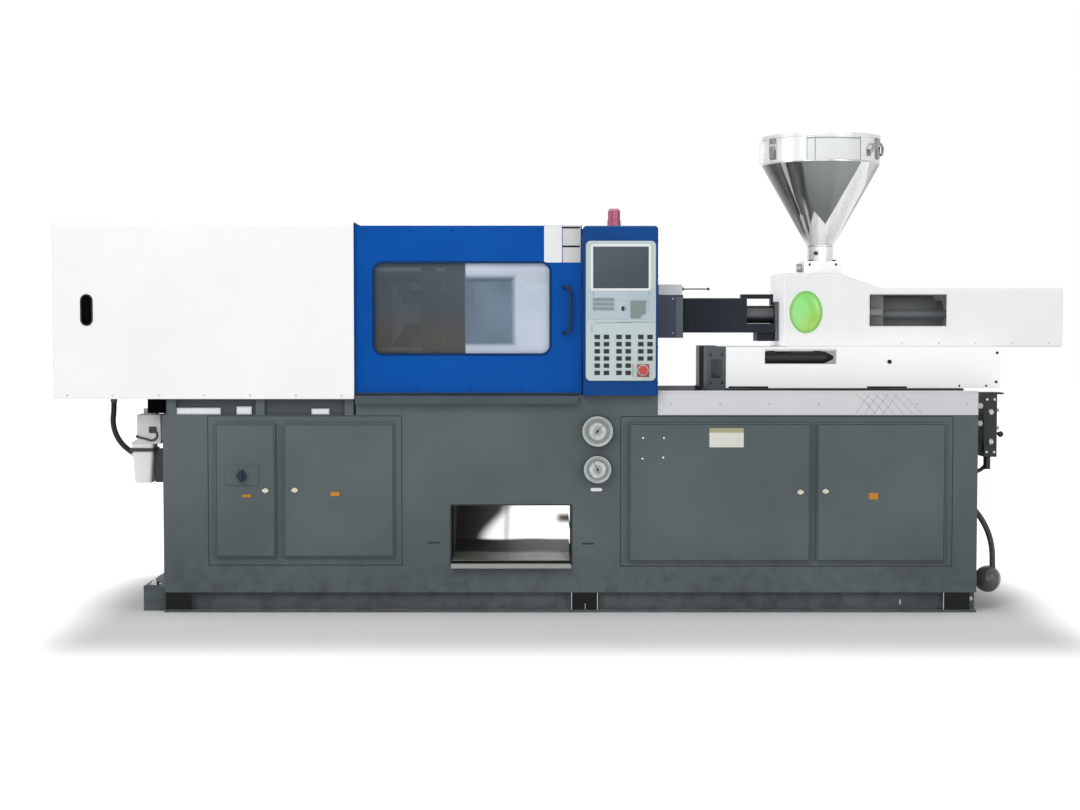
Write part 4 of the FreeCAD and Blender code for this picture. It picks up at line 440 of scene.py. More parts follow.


# Chute: polished sheet with a painted highlight, which also glows, where the light above falls on it,
# painted shade at its left and on its bend, a grey tray below with painted shade beyond its corner, worn by
# parts.
def chuteSheet(name):
    material, graph = startMaterial(name)
    edges = graph.group("softEdges", Radius=0.0015)
    grain = graph.group("brushedGrain", Stretch=(40.0, 1.0, 1.0), Depth=0.04, Base=edges["Normal"])
    where = graph.where()
    x, y, z = graph.parts(where)
    rise = z + (graph.noise(where, 3.0, 1.0) - 0.5) * 0.02
    upright = graph.span(rise, *chute["bend"])
    # bright: the painted highlight, dimmer on a spot and along the fold; it is also painted as a glow.
    bright = graph.span(x - graph.span(z, *chute["light"]), -0.02, 0.06)
    stain = graph.span(x, *chute["stain"]) * graph.span(abs(z - chute["stainLevel"]), 0.03, 0.004)
    fold = graph.span(abs(x - chute["fold"]), 0.018, 0.006, 0.0, 0.35)
    bright = bright * (1.0 - graph.sum("MAXIMUM", stain, fold)) * upright
    # Painted shade: darker towards the left, and darkest below the bend.
    upper = graph.blend(graph.span(x, *chute["shade"]), "#2c2b29", "#5b5854")
    upper = graph.blend(bright, graph.blend(upright, "#232320", upper), "#f4f4f3")
    tray = graph.blend(graph.span(z, *chute["trayEdge"]), "#5c6059", "#999c93")
    # Beyond the tray's rounded corner the colour turns to painted shade.
    corner = chute["corner"] - graph.span(z, *chute["cornerShadeLevels"])
    tray = graph.blend(graph.step(x - corner, 0.002), tray, "#232320")
    colour = graph.blend(graph.span(rise, *chute["tray"]), upper, tray)
    graph.shade({"Base Color": graph.blend(grain["Smear"] * 0.06, colour, "#6f6c63"),
                 "Emission Color": graph.blend(bright, "#000000", "#ffffff"), "Emission Strength": 0.72,
                 "Roughness": grain["Smear"] * 0.1 + 0.3, "Normal": grain["Normal"]})
    return material


# What a coat has been given as its base colour, for a finish that paints over a part of it.
def paintOf(material):
    graph = Graph(material.node_tree)
    shader = material.node_tree.nodes["Principled BSDF"]
    return graph, Value(graph, shader.inputs["Base Color"].links[0].from_socket)


whiteCoat = {"base": "#f7f7f6", "second": "#f1f2f2", "rough": 0.42, "rub": 0.12, "dust": 0.05,
             "runs": 0.02, "speck": 0.03, "radius": 0.004}


# The hood is white, and the end that faces the barrel glows: painted light standing in for the bright hall
# around it.
def hoodSkin(name, end=(1.0135, 1.0120)):
    material = coated(name, grime=0.1, **whiteCoat)
    graph = Graph(material.node_tree)
    lit = graph.span(graph.parts(graph.where())[0], *end)
    graph.shade({"Emission Color": graph.blend(lit, "#000000", "#ffffff"), "Emission Strength": 0.32})
    return material


# The unit's sheet is white and glows faintly, painted light standing in for light from the floor; the
# castings and rods that it covers are grey.
def carriageSkin(name, top=(1.1985, 1.1995)):
    material = coated(name, **whiteCoat)
    graph, paint = paintOf(material)
    under = graph.span(graph.parts(graph.where())[2], *top)
    graph.shade({"Base Color": graph.blend(under, paint, "#6a7072"), "Emission Strength": 0.15,
                 "Emission Color": graph.blend(under, "#ffffff", "#000000")})
    return material


# Keys are black; the bars above them are grey, and the dot between the bars stays dark.
def keySkin(name, dot=(0.2404, 0.014), barFoot=(1.285, 1.290), paleBars=(0.270, 0.272)):
    material = coated(name, "#17191b", "#1f2224", rub=0.5, rubColour="#5c6164", runs=0.0, radius=0.002,
                      seed=8.0)
    graph, paint = paintOf(material)
    x, y, z = graph.parts(graph.where())
    bars = graph.sum("GREATER_THAN", abs(x - dot[0]), dot[1]) * graph.span(z, *barFoot)
    tone = graph.blend(graph.span(x, *paleBars), "#84919a", "#aabac1")
    graph.shade({"Base Color": graph.blend(bars, paint, tone)})
    return material


# Lamp dome: coloured plastic with ribs seen through it.
def lampDome(name, base="#c8427a", deep="#8c1f4c"):
    material, graph = startMaterial(name)
    ribs = graph.span(graph.sum("SINE", graph.parts(graph.where())[2] * 520.0), -0.2, 0.9)
    facing = graph.get("LayerWeight", "Facing", {"Blend": 0.4})
    colour = graph.blend(facing, graph.blend(ribs * 0.45, base, deep), deep)
    graph.shade({"Base Color": colour, "Roughness": 0.18, "Subsurface Weight": 0.25,
                 "Subsurface Radius": (0.03, 0.006, 0.01), "Coat Weight": 0.5})
    return material


hopperLow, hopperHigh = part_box("hopper_body")
hopperCentre = ((hopperLow[0] + hopperHigh[0]) / 2, (hopperLow[1] + hopperHigh[1]) / 2, 1.9)
sticker = {"peel": 0.05, "rub": 0.15, "dust": 0.1, "radius": 0.001}
screwPaint = {"rough": 0.35, "peel": 0.0, "rub": 0.5, "runs": 0.0, "radius": 0.0006}

# Painted and moulded finishes: each row holds its colours and what differs from a usual coat.
coats = {
    "white_sheet": dict(whiteCoat, grime=0.1),
    "door_blue": dict(base="#0252a8", second="#014b9e", rough=0.3, rub=0.2, rubColour="#5f8fc4",
        dust=0.06, runs=0.05, radius=0.004, seed=2.0, shine=0.06),
    "column_blue": dict(base="#124a90", second="#0f4280", rough=0.36, rub=0.25, rubColour="#5f8fc4",
        dust=0.1, runs=0.05, radius=0.004, seed=3.0, shine=0.08),
    "bed_grey": dict(base="#5f676a", second="#555d60", rough=0.38, rub=0.4, dust=0.35, grime=0.45,
        runs=0.12, speck=0.15, seed=4.0, floor=0.42, shine=0.12),
    "rail_grey": dict(base="#49555a", second="#424e53", rough=0.34, rub=0.4, dust=0.3, runs=0.15,
        seed=5.0, shine=0.15),
    "band_grey": dict(base="#d3d4d6", second="#cacccf", rough=0.4, rub=0.25, dust=0.15, runs=0.08,
        speck=0.06, seed=6.0),
    "panel_grey": dict(base="#c2cfcf", second="#bac8c8", peel=0.06, rub=0.1, dust=0.1, runs=0.03,
        speck=0.04, seed=7.0),
    "grip_black": dict(base="#0f1a2c", second="#131f33", rough=0.36, rub=0.35, rubColour="#5a6676",
        runs=0.0, radius=0.003, seed=9.0),
    "stop_red": dict(base="#b92f22", second="#a52a1d", rough=0.3, rub=0.2, rubColour="#e58477", dust=0.1,
        runs=0.0, seed=10.0, coat=0.4),
    "platen_cast": dict(base="#8d9290", second="#7d8381", rough=0.48, peel=0.5, rub=0.5, dust=0.3,
        runs=0.3, speck=0.3, seed=11.0),
    "dark_sheet": dict(base="#2b3138", second="#252a31", rough=0.45, rub=0.4, rubColour="#5a5f65",
        dust=0.25, seed=12.0, shine=0.1),
    "guard_grey": dict(base="#566070", second="#4d5665", rough=0.42, rub=0.35, dust=0.25, seed=13.0,
        shine=0.15),
    "oil_black": dict(base="#17191b", second="#212426", rough=0.34, rub=0.45, rubColour="#777c7f",
        dust=0.3, grime=0.2, runs=0.3, seed=14.0),
    "hose_black": dict(sticker, base="#131415", second="#1c1d1f", rough=0.55, peel=0.6, rub=0.0, dust=0.3,
        grime=0.2, runs=0.0, seed=15.0),
    "gauge_black": dict(base="#2a2d2f", second="#34373a", rough=0.35, rub=0.5, rubColour="#9fa4a6",
        runs=0.05, seed=16.0),
    "labelWhite": dict(sticker, base="#eceeee", second="#e2e5e6", seed=18.0),
    "labelGrey": dict(sticker, base="#d3d2d0", second="#c9c8c6", seed=19.0),
    "tileGrey": dict(sticker, base="#84918f", second="#7c8987", runs=0.0, seed=20.0),
    "inkGrey": dict(sticker, base="#98a3a6", second="#8b9699", peel=0.02, rub=0.0, runs=0.0, seed=21.0),
    "seamDark": dict(sticker, base="#3d4447", second="#353b3e", rough=0.6, rub=0.1, dust=0.2, grime=0.1,
        runs=0.0, seed=22.0, shine=0.08),
    "sealBlue": dict(sticker, base="#0d3768", second="#0a2f5c", rough=0.55, peel=0.2, rub=0.1, dust=0.15,
        runs=0.0, seed=23.0, shine=0.1),
    "stopPlate": dict(base="#c24a36", second="#a63c2b", rough=0.45, peel=0.1, rub=0.2, runs=0.3,
        speck=0.5, radius=0.001, seed=24.0),
    "orangeLabel": dict(sticker, base="#cc8a1e", second="#b77a18", dust=0.2, grime=0.1, runs=0.2,
        seed=25.0),
    "creamLatch": dict(sticker, base="#e6e0cc", second="#d8d1ba", rough=0.35, peel=0.1, rub=0.3,
        seed=26.0),
    "paintedScrew": dict(screwPaint, base="#d9dbdc", second="#cfd2d3", seed=27.0),
    "blueScrew": dict(screwPaint, base="#0a4a8c", second="#083f79", seed=28.0, shine=0.1),
    "bandScrew": dict(screwPaint, base="#c3c5c7", second="#b8babc", seed=29.0),
    "bedScrew": dict(screwPaint, base="#596164", second="#50585b", rough=0.4, seed=30.0, shine=0.12),
    "foldGrey": dict(base="#6b7480", second="#636c78", rough=0.42, rub=0.35, dust=0.25, seed=31.0,
        shine=0.15),
    "filterHose": dict(sticker, base="#4d5150", second="#444847", peel=0.4, rub=0.0, dust=0.3, grime=0.2,
        runs=0.0, seed=32.0),
    "bowlGrey": dict(base="#565c5a", second="#4d5351", rough=0.22, peel=0.2, dust=0.25, grime=0.1,
        runs=0.2, seed=33.0, coat=0.3),
    "paleTile": dict(base="#b3c3ca", second="#aabac1", peel=0.06, rub=0.1, dust=0.1, runs=0.03,
        speck=0.04, seed=17.0),
    # A black finish for plates that stand in as painted shade.
    "slotBlack": dict(base="#060606", second="#0a0a0a", rough=0.8, peel=0.05, rub=0.0, dust=0.05,
        runs=0.0, seed=19.0, shine=0.02),
    "footGrey": dict(base="#4d5458", second="#454c50", rough=0.45, dust=0.3, grime=0.2, runs=0.2,
        seed=20.0, shine=0.15),
    "footDark": dict(base="#232424", second="#1c1d1d", rub=0.2, dust=0.3, grime=0.1, runs=0.05, seed=18.0,
        shine=0.1),
    "driveGrey": dict(base="#8a8e8b", second="#7c807d", rough=0.4, rub=0.4, dust=0.3, grime=0.1,
        seed=14.0, shine=0.15),
    "flapSheet": dict(sticker, base="#eef0f0", second="#e2e6e6", rough=0.3, rub=0.1, runs=0.05,
        seed=34.0),
}
# Bare metals, in the same way.
metals = {
    "ground_steel": dict(base="#c9cccd", second="#9da1a3", rough=0.2),
    "mould_steel": dict(base="#8f9496", second="#6e7375", rough=0.32, stretch=(1.0, 50.0, 1.0)),
    "chrome": dict(base="#dfe1de", second="#c4c8c4", rough=0.16, stretch=(1.0, 1.0, 20.0), depth=0.05,
        rub=0.2, oil=0.1, radius=0.0008),
    "barSteel": dict(base="#868c90", second="#6b7276", rough=0.24),
    "stainlessTrim": dict(base="#d7d9d8", second="#b9bcbb", rough=0.2, stretch=(2.0, 2.0, 40.0),
        depth=0.05, rub=0.2, oil=0.15, radius=0.001),
    "gaugeRim": dict(base="#a4aaa7", second="#7d8481", stretch=(1.0, 1.0, 20.0), depth=0.05, rub=0.3,
        radius=0.001),
    "barrelGrey": dict(base="#6d7073", second="#505356", rough=0.42),
    "clipGrey": dict(base="#9a9c9b", second="#80827f", stretch=(2.0, 2.0, 30.0), depth=0.05, rub=0.3,
        radius=0.001),
}
special = {"screen_glass": displayGlass, "key_black": keySkin, "lamp_red": lampDome,
           "dataPlate": dataSheet, "gaugeFace": gaugeSheet, "badgeGreen": badgeGloss,
           "hoodSkin": hoodSkin, "doorPane": doorPane, "chuteSheet": chuteSheet,
           "carriageSkin": carriageSkin}


# A material takes its finish's key in camel case as its name.
def title(key):
    first, *others = key.split("_")
    return first + "".join(word.capitalize() for word in others)


finishes = {"stainless": mirrorSteel("stainless", hopperCentre)}
finishes.update((key, coated(title(key), **values)) for key, values in coats.items())
finishes.update((key, machined(title(key), **values)) for key, values in metals.items())
finishes.update((key, make(title(key))) for key, make in special.items())

# Nodes that have a finish of their own in place of their slot's.
ownFinish = {
    "tie_bars": "barSteel", "small_door_latch": "creamLatch", "large_door_latch": "creamLatch",
    "left_service_latch": "creamLatch", "right_service_latch": "creamLatch", "filter_bowl": "bowlGrey",
    "front_door_window": "doorPane", "rear_door_window": "doorPane", "discharge_chute": "chuteSheet",
    "carriage_base": "carriageSkin", "injection_drive": "driveGrey", "barrel": "barrelGrey",
    "injection_cover": "hoodSkin", "lubricator_pump": "labelGrey", "lubricator_reservoir": "labelWhite"}
for part in frame["record"]["subparts"]:
    materials = nodes[part["node"]].data.materials
    materials.clear()
    materials.append(finishes[ownFinish.get(part["node"], part["material_slot"])])
print("finishes on", len(nodes), "frame nodes")

# Hoses: the routes that the frame's own tubes follow, as smooth curves. A route goes down from its start
# in even steps, and each step leans by so many degrees toward +X.
hoses = {
    "lubricator_hose": {"radius": 0.0125, "finish": "hose_black", "start": (-2.074, -0.35, 0.946),
                        "step": 0.038, "leans": (0, -8, 4, 17, 30, 43, 55)},
    "filter_hose": {"radius": 0.0135, "finish": "filterHose", "start": (1.880, -0.30, 0.460),
                    "step": 0.05, "leans": (40, 32, 24, 15, 6, 0)},
}


def hoseRoute(hose):
    x, y, z = hose["start"]
    route = [(x, y, z)]
    for lean in hose["leans"]:
        angle = math.radians(lean)
        x = round(x + hose["step"] * math.sin(angle), 6)
        z = round(z - hose["step"] * math.cos(angle), 6)
        route.append((x, y, z))
    return route


def makeHose(name, hose):
    route = hoseRoute(hose)
    curve = bpy.data.curves.new(name, "CURVE")
    curve.dimensions = "3D"
    curve.bevel_depth = hose["radius"]
    curve.bevel_resolution = 6
    line = curve.splines.new("NURBS")
    line.points.add(len(route) - 1)
    for point, where in zip(line.points, route):
        point.co = (*where, 1.0)
    line.order_u = 3
    line.use_endpoint_u = True
    line.resolution_u = 12
    made = bpy.data.objects.new(name + ".look", curve)
    scene.collection.objects.link(made)
    curve.materials.append(finishes[hose["finish"]])
    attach(made, "machine_base")
    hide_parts(name)


for name, hose in hoses.items():
    makeHose(name, hose)
print("hoses made")

# Small fittings are drawn in millimetres, as the frame's sizes are, and scaled to metres in the mesh.
# Each facing gives the directions along, up and out of the face that carries the fitting.
mm = 0.001
facings = {
    "front": (Vector((1, 0, 0)), Vector((0, 0, 1)), Vector((0, -1, 0))),
    "rear": (Vector((-1, 0, 0)), Vector((0, 0, 1)), Vector((0, 1, 0))),
    "right": (Vector((0, 1, 0)), Vector((0, 0, 1)), Vector((1, 0, 0))),
    "left": (Vector((0, -1, 0)), Vector((0, 0, 1)), Vector((-1, 0, 0))),
    "top": (Vector((1, 0, 0)), Vector((0, 1, 0)), Vector((0, 0, 1))),
    "under": (Vector((1, 0, 0)), Vector((0, -1, 0)), Vector((0, 0, -1))),
}


def roundedBox(wide, high, corner, steps=5):
    corner = min(corner, wide / 2, high / 2)
    points = []
    for turn, (side, rise) in enumerate(((1, 1), (-1, 1), (-1, -1), (1, -1))):
        for step in range(steps + 1):
            angle = math.radians(90 * (turn + step / steps))
            points.append((side * (wide / 2 - corner) + corner * math.cos(angle),
                           rise * (high / 2 - corner) + corner * math.sin(angle)))
    return points


def oval(wide, high, steps=48):
    turns = [2 * math.pi * step / steps for step in range(steps)]
    return [(wide / 2 * math.cos(turn), high / 2 * math.sin(turn)) for turn in turns]


def placed(facing, origin, flat, out):
    along, up, forward = facings[facing]
    return [(Vector(origin) + along * x + up * y + forward * out) * mm for x, y in flat]


# Joins rings of as many points each into a skin, with flat ends unless it closes on itself.
def loft(shape, rings, closed=False):
    made = [[shape.verts.new(point) for point in ring] for ring in rings]
    pairs = list(zip(made, made[1:] + made[:1])) if closed else list(zip(made, made[1:]))
    for low, high in pairs:
        for index in range(len(low)):
            after = (index + 1) % len(low)
            shape.faces.new((low[index], low[after], high[after], high[index]))
    if not closed:
        shape.faces.new(list(reversed(made[0])))
        shape.faces.new(made[-1])


# A plate, boss or bezel: profile lists how far the outline draws in and how far it stands out.
def fitting(shape, facing, origin, size, corner, profile):
    loft(shape, [placed(facing, origin, roundedBox(size[0] - 2 * inset, size[1] - 2 * inset,
                                                   max(corner - inset, 0.2)), out)
                 for inset, out in profile])


# A round boss: profile lists its radii and how far each stands out.
def turned(shape, facing, origin, profile, steps=28):
    loft(shape, [placed(facing, origin, oval(2 * radius, 2 * radius, steps), out)
                 for radius, out in profile])


# A hoop round an opening, with the section given as distances outside the opening and out of the face.
def hoop(shape, facing, origin, size, corner, section):
    loft(shape, [placed(facing, origin, roundedBox(size[0] + 2 * outside, size[1] + 2 * outside,
                                                   corner + outside), out)
                 for outside, out in section], closed=True)


# Heads by shares of their radius: a socket screw with its socket, and a low rivet.
heads = {"screw": (((1, 0), (1, 0.275), (0.82, 0.55), (0.5, 0.55), (0.42, 0.1925)), 18),
         "rivet": (((1, 0), (0.9, 0.35), (0.55, 0.6), (0.15, 0.68)), 14)}


def screwHead(shape, facing, origin, radius, kind="screw"):
    profile, steps = heads[kind]
    turned(shape, facing, origin, [(radius * wide, radius * out) for wide, out in profile], steps)


# A round tube that follows a line of points, bent softly where the line turns.
def pipe(shape, route, radius, steps=14):
    points = [Vector(point) for point in route]
    fine = [points[0]]
    for before, here, after in zip(points, points[1:], points[2:]):
        bend = min((here - before).length, (after - here).length, 6 * radius) / 2
        start = here + (before - here).normalized() * bend
        end = here + (after - here).normalized() * bend
        for step in range(7):
            share = step / 6
            fine.append(start * (1 - share) ** 2 + here * 2 * share * (1 - share) + end * share ** 2)
    fine.append(points[-1])
    ways = [(after - before).normalized() for before, after in zip([fine[0]] + fine, fine[1:] + [fine[-1]])]
    ways[0] = (fine[1] - fine[0]).normalized()
    side = ways[0].orthogonal().normalized()
    rings = []
    for place, way in zip(fine, ways):
        side = (side - way * side.dot(way)).normalized()
        across = way.cross(side)
        rings.append([(place + (side * math.cos(turn) + across * math.sin(turn)) * radius) * mm
                      for turn in [2 * math.pi * step / steps for step in range(steps)]])
    loft(shape, rings)


# Turns the drawn shape into a piece that rides on a body, in its slot's finish or one of its own.
def linkPiece(name, shape, slotName, body, finish=None, sharp=35.0):
    bmesh.ops.recalc_face_normals(shape, faces=shape.faces)
    mesh = bpy.data.meshes.new(name)
    shape.to_mesh(mesh)
    shape.free()
    mesh.materials.append(finishes[finish or slotName])
    mesh.polygons.foreach_set("use_smooth", [True] * len(mesh.polygons))
    mesh.set_sharp_from_angle(angle=math.radians(sharp))
    made = bpy.data.objects.new(name, mesh)
    scene.collection.objects.link(made)
    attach(made, body)
    return made


# The slot that goes with a finish of its own. Any other finish is a slot itself.
usualSlot = {"labelWhite": "white_sheet", "labelGrey": "bed_grey", "inkGrey": "panel_grey",
             "paleTile": "panel_grey", "stopPlate": "stop_red", "orangeLabel": "stop_red",
             "seamDark": "dark_sheet", "slotBlack": "dark_sheet", "footDark": "bed_grey",
             "footGrey": "bed_grey", "dataPlate": "ground_steel", "sealBlue": "hose_black",
             "paintedScrew": "white_sheet", "blueScrew": "door_blue", "bandScrew": "band_grey",
             "bedScrew": "bed_grey", "chrome": "ground_steel"}


# A table's row with what it leaves out: the front face, the fixed body and the finish's usual slot.
def filled(row, **usual):
    whole = {"facing": "front", "body": "machine_base", **usual, **row}
    whole.setdefault("slot", usualSlot.get(whole["finish"], whole["finish"]))
    return whole


# Bare sheets, labels and small plates: middle, size and finish, and what differs from a thin plate.
ink = {"thick": 0.7, "finish": "inkGrey"}
doorLabel = {"thick": 1.2, "corner": 3, "finish": "orangeLabel"}
tape = {"thick": 14, "corner": 2, "finish": "labelWhite"}
plates = {
    "blankLabel": dict(middle=(-61, -505, 1662), size=(80, 164), thick=1.2, corner=4, finish="labelWhite",
        body="front_door"),
    "greyTile": dict(middle=(22.5, -505, 1662), size=(81, 164), thick=1.6, corner=3, finish="labelGrey",
        slot="panel_grey", body="front_door"),
    "tileBars": dict(middle=(20, -506.6, 1736), size=(79, 8), thick=2.0, corner=2, finish="dark_sheet",
        body="front_door", copies=((0, 0), (0, -84))),
    "stopPlate": dict(middle=(340, -575, 1097), size=(54, 57), thick=1.5, corner=3, finish="stopPlate"),
    "stopLine": dict(middle=(295, -575, 1098), size=(4, 57), thick=0.8, finish="inkGrey"),
    "panelTicks": dict(ink, middle=(119, -575, 1445), size=(3.5, 32),
        copies=((0, 0), (247, 4), (-7, -159))),
    "panelLine": dict(ink, middle=(208, -575, 1310), size=(170, 3), copies=((0, 0), (100, 3))),
    "dotTile": dict(middle=(238, -575, 1369), size=(72, 82), thick=0.8, corner=3, finish="paleTile"),
    "middleTile": dict(middle=(240.7, -575, 1392), size=(298, 138), thick=0.3, corner=3,
        finish="paleTile"),
    "footSheets": dict(middle=(82, -497, 51.5), size=(118, 79), finish="footDark",
        copies=((0, 0), (1684, 0), (-1836, 0))),
    # A black plate behind the cover's slot: painted shade where the slot looks into the cover.
    "slotShade": dict(middle=(-2150, -522, 1367), size=(66, 152), corner=30, finish="slotBlack",
        slot="white_sheet"),
    # A black plate under the cover's left end: painted shade.
    "underEndShade": dict(middle=(-1850, -474, 935), size=(84, 66), thick=3.0, corner=2, finish="slotBlack"),
    "bandLip": dict(middle=(1133, -499, 999), size=(1443, 12), finish="band_grey"),
    "underSheet": dict(middle=(-1387, -474, 931), size=(866, 74), thick=3.0, corner=2, finish="footGrey"),
    "footEdges": dict(middle=(23.5, -497, 51.5), size=(3.5, 79), thick=2.0, corner=0.5,
        finish="labelGrey", copies=((0, 0), (117, 0), (1684, 0))),
    "footStub": dict(middle=(85, -498, 28), size=(2.5, 26), thick=1.2, corner=0.5, finish="labelGrey"),
    "skidMark": dict(middle=(1518, -460, 42), size=(7, 22), finish="labelGrey"),
    # A dark strip along the door's foot: painted shade for the gap above the rails.
    "doorFoot": dict(middle=(-448, -505, 991), size=(1026, 9), finish="seamDark", slot="grip_black",
        body="front_door"),
    "pressureLabel": dict(middle=(135, -500, 558), size=(53, 15), thick=1.2, corner=7.5,
        finish="labelWhite"),
    "dataPlate": dict(middle=(719.5, -518.5, 793.5), size=(155, 87), thick=1.6, corner=5,
        finish="dataPlate", body="left_service_door"),
    "largeDoorPlate": dict(doorLabel, middle=(-1043, -518.5, 540), size=(40, 18), body="large_door"),
    "serviceDoorPlate": dict(doorLabel, middle=(1383, -518.5, 530), size=(41, 29),
        body="right_service_door"),
    "smallDoorPlate": dict(doorLabel, middle=(-1441, -518.5, 531), size=(40, 12), body="small_door"),
    "longTape": dict(tape, middle=(-1660, -480, 911), size=(200, 32)),
    "shortTape": dict(tape, middle=(-1454, -480, 914), size=(68, 38)),
    "terminalTape": dict(tape, middle=(-1110, -480, 909), size=(80, 28)),
    "chuteSlots": dict(middle=(-599, -500, 317), size=(54, 8), thick=0.9, corner=4, finish="seamDark",
        copies=((0, 0), (695, -4))),
    # Dark strips under the unit's sheet: painted shade for the gaps above the rails.
    "carriageStrips": dict(middle=(842, -300, 1013), size=(184, 9), thick=2.0, corner=3,
        finish="hose_black", body="carriage", copies=((0, 0), (640, 0))),
}


def makePlate(name, plate):
    shape = bmesh.new()
    along, up, forward = facings[plate["facing"]]
    thick = plate["thick"]
    for over, above in plate["copies"]:
        fitting(shape, plate["facing"], Vector(plate["middle"]) + along * over + up * above, plate["size"],
                plate["corner"], ((0, 0), (0, thick * 0.6), (thick * 0.4, thick)))
    linkPiece(name, shape, plate["slot"], plate["body"], plate["finish"])


for name, plate in plates.items():
    makePlate(name, filled(plate, thick=1.0, corner=1, copies=((0, 0),)))
print("labels and plates made")

# Seals, bezels and seams that run round an opening or a group of doors.
sealSection = ((-3, 0), (-3, 2.5), (-1, 4), (5, 4), (7, 2.5), (7, 0))
frameSection = ((0, 0), (0, 1.5), (1.5, 3), (9, 3), (11, 1.2), (11, 0))
seamSection = ((-2, 0), (-1.2, 0.8), (1.2, 0.8), (2, 0))
foldSection = ((-1.5, 0), (-0.8, 0.5), (0.8, 0.5), (1.5, 0))
hoops = {
    "frontWindowSeal": dict(middle=(-470.25, -505, 1374.5), size=(791.5, 409), corner=40,
        section=sealSection, finish="sealBlue", body="front_door"),
    "rearWindowSeal": dict(facing="rear", middle=(-470.25, 505, 1374.5), size=(791.5, 409), corner=40,
        section=sealSection, finish="sealBlue", body="rear_door"),
    "hoodWindowFrame": dict(middle=(1586, -250, 1368), size=(356, 146), corner=2,
        section=((0, 0), (0, 0.8), (1, 1.5), (5, 1.5), (6, 0)), finish="labelWhite", body="carriage"),
    "slotGrommet": dict(middle=(-2150, -530, 1367), size=(49, 135), corner=24.5,
        section=((-3, 0), (-3, 1.5), (-1, 3), (3, 3), (4, 0)), finish="hose_black"),
    "screenFrame": dict(middle=(240.5, -575, 1555.5), size=(247, 185), corner=1, section=frameSection,
        finish="labelWhite", slot="panel_grey"),
    "chuteRim": dict(middle=(-249.5, -500, 352), size=(541, 268),
        section=((0, 0), (0, 1.5), (2, 2), (5, 2), (6, 0))),
    "leftDoorSeam": dict(middle=(-1180, -500, 553), size=(874, 676)),
    "rightDoorSeam": dict(middle=(993, -500, 549.5), size=(1498, 677)),
    "rearBedSeam": dict(facing="rear", middle=(-1000, 500, 520), size=(1450, 640)),
    "rearServiceSeam": dict(facing="rear", middle=(980, 500, 520), size=(1500, 640)),
}
# Shallow edges round the faces of the four bed doors, drawn in from the fold.
doorFaces = {"small_door": (-1582, -1311, 252, 857), "large_door": (-1275, -777, 252, 857),
             "left_service_door": (281, 1100, 233, 859), "right_service_door": (1127, 1707, 233, 859)}
for doorName, (left, right, low, high) in doorFaces.items():
    hoops[doorName + ".fold"] = dict(
        middle=((left + right) / 2, -518.5, (low + high) / 2), size=(right - left - 12, high - low - 12),
        corner=4, section=foldSection, body=doorName)


def makeHoop(name, ring):
    shape = bmesh.new()
    hoop(shape, ring["facing"], ring["middle"], ring["size"], ring["corner"], ring["section"])
    linkPiece(name, shape, ring["slot"], ring["body"], ring["finish"])


for name, ring in hoops.items():
    makeHoop(name, filled(ring, corner=3, section=seamSection, finish="seamDark"))

# Screws and rivets in rows: first place, step and finish, and what differs from five usual heads.
unitPlug = {"finish": "hose_black", "slot": "dark_sheet", "body": "carriage"}
platePin = {"count": 2, "finish": "chrome", "body": "left_service_door"}
screwRows = {
    "coverFoot": dict(first=(-2240, -530, 985), step=(205, 0, 0), count=7, finish="paintedScrew"),
    "coverFootRear": dict(facing="rear", first=(-2240, 530, 985), step=(205, 0, 0), count=7,
        finish="paintedScrew"),
    "hoodFoot": dict(first=(1560, -250, 1216), step=(170, 0, 0), radius=4.5, finish="paintedScrew",
        body="carriage"),
    "hoodFootRear": dict(facing="rear", first=(1050, 250, 1216), step=(172, 0, 0), count=8, radius=4.5,
        finish="paintedScrew", body="carriage"),
    "carriageEdge": dict(unitPlug, first=(1988, -300, 1172), step=(-3, 0, -134), count=2, radius=6.5),
    "carriageFoot": dict(unitPlug, first=(1815, -300, 1020), step=(124, 0, 0), count=2),
    "carriagePlug": dict(unitPlug, first=(1492, -300, 1131), step=(1, 0, 0), count=1, radius=10),
    "carriageRear": dict(facing="rear", first=(800, 300, 1030), step=(280, 0, 0), radius=6,
        finish="ground_steel", body="carriage"),
    "doorTop": dict(first=(-900, -505, 1722), step=(195, 0, 0), radius=4.5, finish="blueScrew",
        body="front_door"),
    "doorFoot": dict(first=(-900, -505, 1008), step=(232, 0, 0), radius=4.5, finish="blueScrew",
        body="front_door"),
    "rearDoorTop": dict(facing="rear", first=(-900, 505, 1722), step=(232, 0, 0), radius=4.5,
        finish="blueScrew", body="rear_door"),
    "bandScrews": dict(first=(470, -500, 944), step=(222, 0, 0), count=7, radius=4.5, finish="bandScrew"),
    "columnSide": dict(facing="right", first=(408, -520, 1040), step=(0, 0, 160), finish="blueScrew",
        slot="column_blue"),
    "labelRivets": dict(platePin, first=(344, -518.5, 792), step=(94, 0, 0)),
    "labelRivetsLow": dict(platePin, first=(342, -518.5, 699), step=(93, 0, 5)),
    "platePins": dict(platePin, first=(649, -520, 793.5), step=(141, 0, 0), radius=2.5),
    "rearBedTop": dict(facing="rear", first=(-1690, 500, 865), step=(230, 0, 0), count=15,
        finish="bedScrew"),
    "rearBedFoot": dict(facing="rear", first=(-1690, 500, 160), step=(230, 0, 0), count=15,
        finish="bedScrew"),
    "leftEndTop": dict(facing="left", first=(-1820, -440, 865), step=(0, 220, 0), finish="bedScrew"),
    "leftEndFoot": dict(facing="left", first=(-1820, -440, 160), step=(0, 220, 0), finish="bedScrew"),
    "rightEndTop": dict(facing="right", first=(1855, -220, 860), step=(0, 165, 0), finish="bedScrew"),
    "rightEndFoot": dict(facing="right", first=(1855, -440, 160), step=(0, 220, 0), finish="bedScrew"),
}


